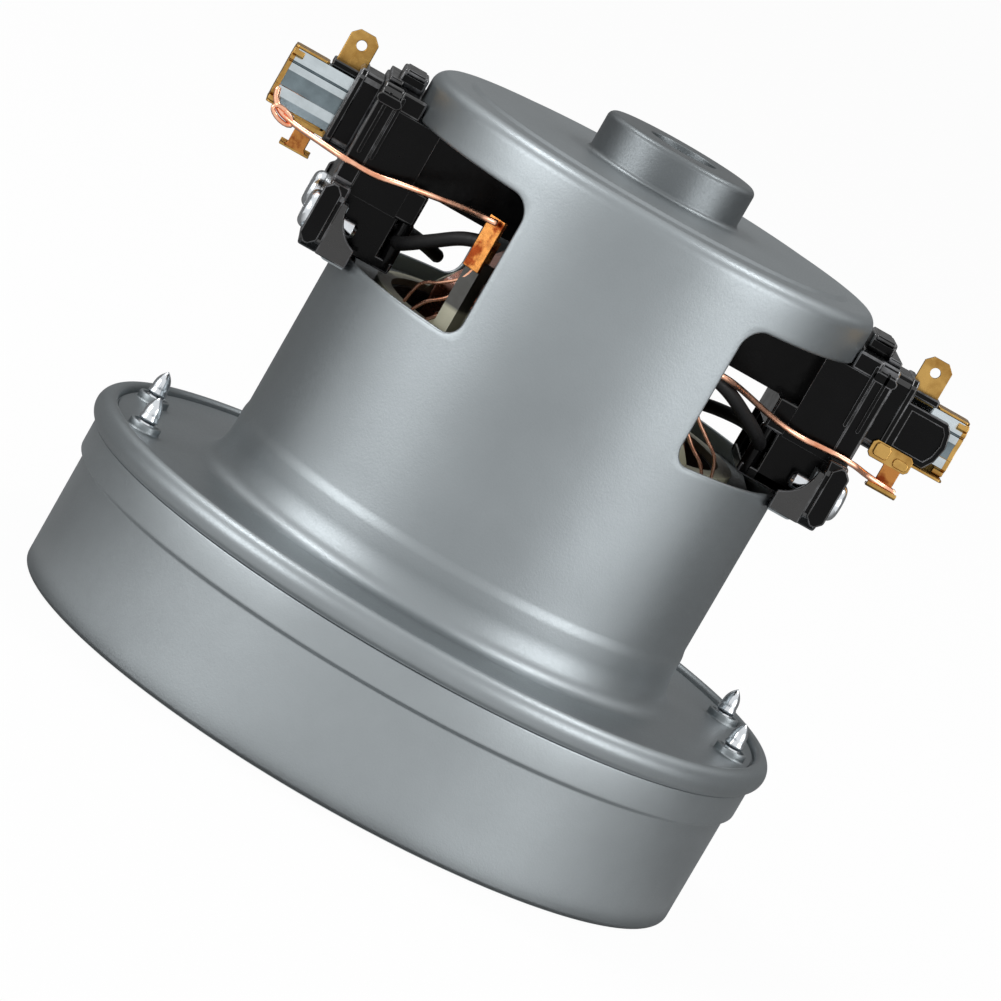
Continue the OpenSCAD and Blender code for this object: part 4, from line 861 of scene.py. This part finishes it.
def clip_pieces(side):
    """The brass cap with its ears and straps, and the folded flag and hooked tail beside the tube."""
    cap_x1 = 65.0
    strap_x1 = cap_x1 - 0.05

    def piece(part, axis, outline, low, high, bevel):
        return prism("clip_%s_%s" % (side, part), axis, outline, low, high, None, bevel)

    yield piece("cap", "x", TUBE_LINE, TUBE_END, cap_x1, 0.22)
    yield piece("top_strap", "z", rectangle(58.6, -2.4, strap_x1, 2.4, 0.5), 98.05, 98.5, 0.15)
    yield piece("low_strap", "z", rectangle(54.1, -6.9, strap_x1, 2.4, 0.5), 87.7, 88.15, 0.15)
    for k, (s, t) in enumerate(((-1, -1), (-1, 1), (1, -1), (1, 1))):
        y, z = s * 3.45, BRUSH_Z + t * 4.35
        ear = rectangle(y - 0.45, z - 0.45, y + 0.45, z + 0.45)
        yield piece("ear_%d" % k, "x", ear, 62.9, strap_x1, 0.22)
    yield piece("flag", "y", rectangle(51.4, 85.9, 59.2, 89.1, 0.6), -6.93, -6.45, 0.18)
    yield piece("flag_fold", "y", rectangle(52.1, 86.5, 55.0, 88.9, 0.4), -7.5, -6.9, 0.25)
    yield piece("flag_lip", "y", rectangle(56.0, 86.3, 58.8, 87.9, 0.4), -7.4, -6.9, 0.25)
    tail = [(54.3, 86.6), (54.9, 85.8), (54.9, 82.5), (54.2, 81.6), (58.8, 81.6), (58.1, 82.5),
            (58.1, 85.8), (58.7, 86.6)]
    yield piece("tail", "y", tail, -6.9, -6.5, 0.15)
    hook = [(-6.5, 81.5), (-8.3, 81.5), (-8.83, 81.9), (-8.83, 82.5), (-8.45, 82.5), (-8.4, 82.15),
            (-8.2, 82.0), (-6.5, 82.0)]
    yield piece("hook", "x", hook, 53.7, 59.3, 0.14)


ROD_X, ROD_Y = 34.6, 9.3
rod_outline = filleted([(0, 73.4), (1.25, 73.4, 0.4), (1.25, 82.4, 0.4), (0, 82.4)])
for side in ("left", "right"):
    for k, o in enumerate(holder_pieces(side)):
        nodes = ["brush_holder_" + side] if k == 0 else []
        # The gussets take the glossier, lighter black, whose lighter colour paints the floor's reflection on
        # them
        look_name = "glossy_black_painted_reflection" if "gusset" in o.name else None
        dress(turned(o, side), "housing", "black_plastic", *nodes, look_name=look_name)
    tube = turned(prism("tube_" + side, "x", TUBE_LINE, TUBE_X0, TUBE_END, TUBE_BORE), side)
    dress(tube, "housing", "bright_zinc", "brush_tube_" + side, look_name="tube_steel")
    # The faces in the rolled hollow and groove take the darker steel, which paints shade in them
    tube.data.materials.append(LOOKS["tube_hollow_painted_shade"])
    for face in tube.data.polygons:
        across, up = abs(face.center.y) / MM, face.center.z / MM - BRUSH_Z
        if 3.5 < across < 4.02 and (-1.5 < up < 1.2 or 2.5 < up < 2.9):
            face.material_index = 1
    for s in (-1, 1):
        rod = lathe("holder_%s_rod_%d" % (side, s), rod_outline, 32, ((ROD_X, s * ROD_Y),))
        dress(turned(rod, side), "housing", "black_plastic")
    for k, o in enumerate(clip_pieces(side)):
        nodes = ["tube_clip_" + side] if k == 0 else []
        look_name = "warm_brass" if "tail" in o.name else None
        dress(turned(o, side), "housing", "brass", *nodes, look_name=look_name)
    dress(from_node("tab_terminal_" + side, "tab_" + side, 0.15), "housing", "brass", "tab_terminal_" + side)
    dress(from_node("field_terminal_" + side, "field_blade_" + side, 0.12), "housing", "brass",
          "field_terminal_" + side, look_name="warm_brass")
dress(from_node("holder_screws", "plate_screws", 0.1), "housing", "bright_zinc", "holder_screws")

# Bare copper leads, from each tube's clip to the field terminal inside the window

LEFT_WIRE = [(-64.2, -4.6, 91), (-63.6, -4.8, 89.2), (-62, -5.4, 87.7), (-59.1, -6.5, 87.1),
             (-54.2, -10, 87), (-49.4, -12.5, 86.9), (-43.7, -13.5, 87), (-38.8, -15, 88), (-33.1, -19, 89.4),
             (-28.4, -25, 90.8), (-25.2, -30.6, 91.7), (-23.2, -32, 92)]
RIGHT_WIRE = [(58.9, -7.6, 82.6), (56.2, -7.7, 82.7), (52.8, -9.2, 83.2), (49.9, -12.2, 83.9),
              (46.4, -13.4, 84.1), (43.2, -13.6, 84), (39.8, -13.9, 83.8), (36.1, -15.6, 84.2),
              (31.7, -19.4, 85.3), (26.5, -25.4, 87), (22.8, -31.4, 88.2), (20.05, -34, 88.6)]
LEFT_LEAD = [(-21.8, -27.8, 88.2), (-26.4, -25.4, 86.4), (-30.2, -21.4, 83.2), (-32.9, -17.2, 80.6),
             (-34.4, -12.6, 79), (-34.8, -5, 78.6), (-34.8, 3, 78.6), (-33.2, 12, 78.4), (-29, 19, 77.2),
             (-25.2, 22.2, 76)]
RIGHT_LEAD = [(17.3, -30.8, 88), (23.4, -27.6, 86.2), (28.9, -21.6, 83.2), (32.9, -16, 80.6), (34.6, -10, 79),
              (34.8, -3, 78.6), (34.8, 4, 78.6), (33.2, 12, 78.4), (29, 19, 77.2), (25.2, 22.2, 76)]
dress(wire("copper_lead_left", eased(LEFT_WIRE), 0.55, 20, 0.3), "housing", "copper", "lead_wire_left")
dress(wire("copper_lead_right", eased(RIGHT_WIRE), 0.55, 20, 0.3), "housing", "copper", "lead_wire_right")
dress(wire("sleeved_lead_left", eased(LEFT_LEAD), 1.2, 24, 0.2), "housing", "rubber", "coil_lead_left")
dress(wire("sleeved_lead_right", eased(RIGHT_LEAD), 1.2, 24, 0.2), "housing", "rubber", "coil_lead_right")

# Winding ends that rise to the terminals, and the loops of wire round the left clip
STRANDS = {
    "left": [[(-22.6, -30.4, 84.4), (-23.6, -29.4, 81.2), (-26.2, -26.6, 78.4), (-28.6, -22.6, 76.2),
              (-29.4, -19.6, 72)],
             [(-22.2, -30.2, 83.4), (-22.4, -29.2, 80.2), (-24.2, -27.4, 76.8), (-26.6, -24.4, 74.2),
              (-28, -21.4, 71)],
             [(-21.8, -30.0, 82.6), (-21.2, -29.4, 79.0), (-22.2, -28.4, 75.6), (-24.2, -26.2, 73),
              (-26, -23.6, 70.4)]],
    "right": [[(19.0, -32.6, 84.0), (20.8, -30.4, 80.6), (24.4, -27.4, 77.6), (27.6, -23.8, 75.0),
               (29.2, -20, 71.5)],
              [(18.4, -32.2, 83.2), (19.2, -30.6, 79.4), (22.4, -28.4, 75.8), (25.8, -25.2, 73.2),
               (27.8, -21.6, 70.6)]]}
for side, routes in STRANDS.items():
    for k, route in enumerate(routes):
        dress(wire("strand_%s_%d" % (side, k), eased(route), 0.3, 10), "housing", "copper")
loop = []
for k in range(37):
    a = k * math.pi / 8
    loop.append((-61.3 + 2.1 * math.cos(a), -4.9 - 0.045 * k, 87.3 + 0.95 * math.sin(a) - 0.5 * math.cos(a)))
dress(wire("clip_loop_left", loop, 0.38, 12), "housing", "copper")

# Field coils: a wrapped bundle with its outer layer of turns laid on it

# Heights are about COIL_Z. POLE and SPAN are half the angle of the hole and the band's breadth beyond it,
# in degrees, and POLE_H and SPAN_H the same in height.
COIL_Z, COIL_R, COIL_DEEP = 58.0, 27.3, 2.05
POLE, SPAN, POLE_H, SPAN_H = 31.0, 23.0, 13.9, 10.9
LAYER_R, LAYER_TURNS, LAYER_STEPS = 29.75, 13, 32
LAYER_SPAN, LAYER_H, LAYER_SPAN_H = 22.5, 14.0, 10.6


def there_and_back(t):
    """Runs from 1 to -1 and back while t grows by one, and rests a while at both."""
    return max(-1, min(1, 1.6 * (4 * abs(t - math.floor(t) - 0.5) - 1)))


def coil_turns(centre):
    """A flat spiral of turns laid on a cylinder, from the hole to the outer edge."""
    path = []
    for i in range(LAYER_STEPS * LAYER_TURNS + 1):
        t = i / LAYER_STEPS
        grow = t / LAYER_TURNS
        a = centre + math.radians((POLE + grow * LAYER_SPAN) * there_and_back(t))
        z = COIL_Z + (LAYER_H + grow * LAYER_SPAN_H) * there_and_back(t - 0.25)
        path.append((LAYER_R * math.cos(a), LAYER_R * math.sin(a), z))
    return path


def coil_bundle(name, centre):
    """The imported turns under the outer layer, as a rounded band round the pole."""
    verts = []
    faces = []
    steps = 96
    cross = [(-1, -0.86), (-0.86, -1), (0.86, -1), (1, -0.86), (1, 0.86), (0.86, 1), (-0.86, 1), (-1, 0.86)]
    for i in range(steps):
        t = i / steps
        u, v = there_and_back(t), there_and_back(t - 0.25)
        for across, deep in cross:
            w = 0.5 + across / 2
            a = centre + math.radians((POLE + w * SPAN) * u)
            z = COIL_Z + (POLE_H + w * SPAN_H) * v
            r = COIL_R + COIL_DEEP * deep
            verts.append((r * math.cos(a) * MM, r * math.sin(a) * MM, z * MM))
    n = len(cross)
    for i in range(steps):
        j = (i + 1) % steps
        for k in range(n):
            m = (k + 1) % n
            faces.append((i * n + k, j * n + k, j * n + m, i * n + m))
    return mesh_object(name, verts, faces, 50)


for name, centre in (("front", -90), ("rear", 90)):
    c = math.radians(centre)
    coil = joined("field_winding_" + name, [coil_bundle("bundle", c), wire("turns", coil_turns(c), 0.4, 8)])
    smooth(coil, 50)
    dress(coil, "housing", "varnished_copper", "field_coil_" + name)

# Rotor winding: domed end turns with the strands laid over each other

def end_winding(name, outline):
    """A domed ring with two sets of ridges that cross. outline holds (radius, height, share of ridge)."""
    ridges, lean = SLOTS * 2, 0.5
    verts = []
    faces = []
    n = len(outline)
    segments = 352
    for i in range(segments):
        a = 2 * math.pi * i / segments
        for k, (r, z, lift) in enumerate(outline):
            twist = lean * k / n
            r += lift * (0.34 * math.sin(ridges * (a + twist)) + 0.22 * math.sin(1.5 * ridges * (a - twist)))
            verts.append((r * math.cos(a) * MM, r * math.sin(a) * MM, z * MM))
    for i in range(segments):
        j = (i + 1) % segments
        for k in range(n):
            m = (k + 1) % n
            faces.append((i * n + k, j * n + k, j * n + m, i * n + m))
    return mesh_object(name, verts, faces, 70)


SLOTS, SLOT_R = 22, 16
upper = [(5.8, 70.1, 0), (17.9, 70.1, 0.3)] + [(r, z, 1) for r, z in
         [(18.2, 70.8), (18.2, 72.4), (18.2, 74.2), (18.1, 76.0), (17.8, 77.6), (17.1, 79.0), (16.0, 80.0),
          (14.8, 80.9), (13.6, 81.9), (12.4, 82.9)]] + [(10.8, 84.4, 0), (5.8, 84.4, 0)]
lower = [(5.8, 45.9, 0), (5.8, 33.6, 0)] + [(r, z, 1) for r, z in
         [(14.8, 33.7), (16.2, 34.1), (17.3, 35.0), (18.0, 36.3), (18.2, 38.0), (18.2, 40.2), (18.2, 42.6),
          (18.2, 44.8)]] + [(17.9, 45.9, 0.3)]
slot_places = []
for k in range(SLOTS):
    a = 2 * math.pi * k / SLOTS
    slot_places.append((SLOT_R * math.cos(a), SLOT_R * math.sin(a)))
fills = lathe("fills", [(0.0, 45.5), (1.45, 45.5), (1.5, 45.6), (1.5, 70.4), (1.45, 70.5), (0.0, 70.5)], 16,
              slot_places)
winding = joined("rotor_strands", [end_winding("upper", upper), end_winding("lower", lower), fills])
smooth(winding, 70)
dress(winding, "rotor", "varnished_copper", "rotor_winding")

# Brush springs and pigtails, drawn at one length; the real ones shorten as the brush is pushed back

SPRING_X0, SPRING_L, SPRING_R, SPRING_STEPS = 44.4, 19.4, 2.6, 216
spring_path = []
for i in range(SPRING_STEPS + 1):
    a = i * math.pi / 12
    x = SPRING_X0 + SPRING_L * i / SPRING_STEPS
    spring_path.append((x, SPRING_R * math.cos(a), BRUSH_Z + SPRING_R * math.sin(a)))
braid_line = [(0, 44.0), (0.55, 44.0, 0.1)] + [(0.6 - 0.06 * (k % 2), 44.6 + 0.3 * k) for k in range(64)]
braid_line += [(0.55, 64.1), (0, 64.1)]
for side, turn in (("left", math.pi), ("right", 0.0)):
    mirrored = Matrix.Rotation(turn, 4, "Z")
    coil = wire("spring_coil_" + side, spring_path, 0.3, 10)
    braid = lathe("braid_" + side, filleted(braid_line), 16)
    braid.data.transform(Matrix.Translation((0, 0, BRUSH_Z * MM)) @ Matrix.Rotation(math.pi / 2, 4, "Y"))
    for o, slot_name, node in ((coil, "bare_steel", "brush_spring_"), (braid, "copper", "brush_pigtail_")):
        o.data.transform(mirrored)
        dress(o, "housing", slot_name, node + side)
        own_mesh(o)

# Materials of the CAD nodes that stay

for part in frame["record"]["subparts"]:
    node = frame["nodes"][part["node"]]
    node.data.materials.clear()
    node.data.materials.append(LOOKS[part["material_slot"]])
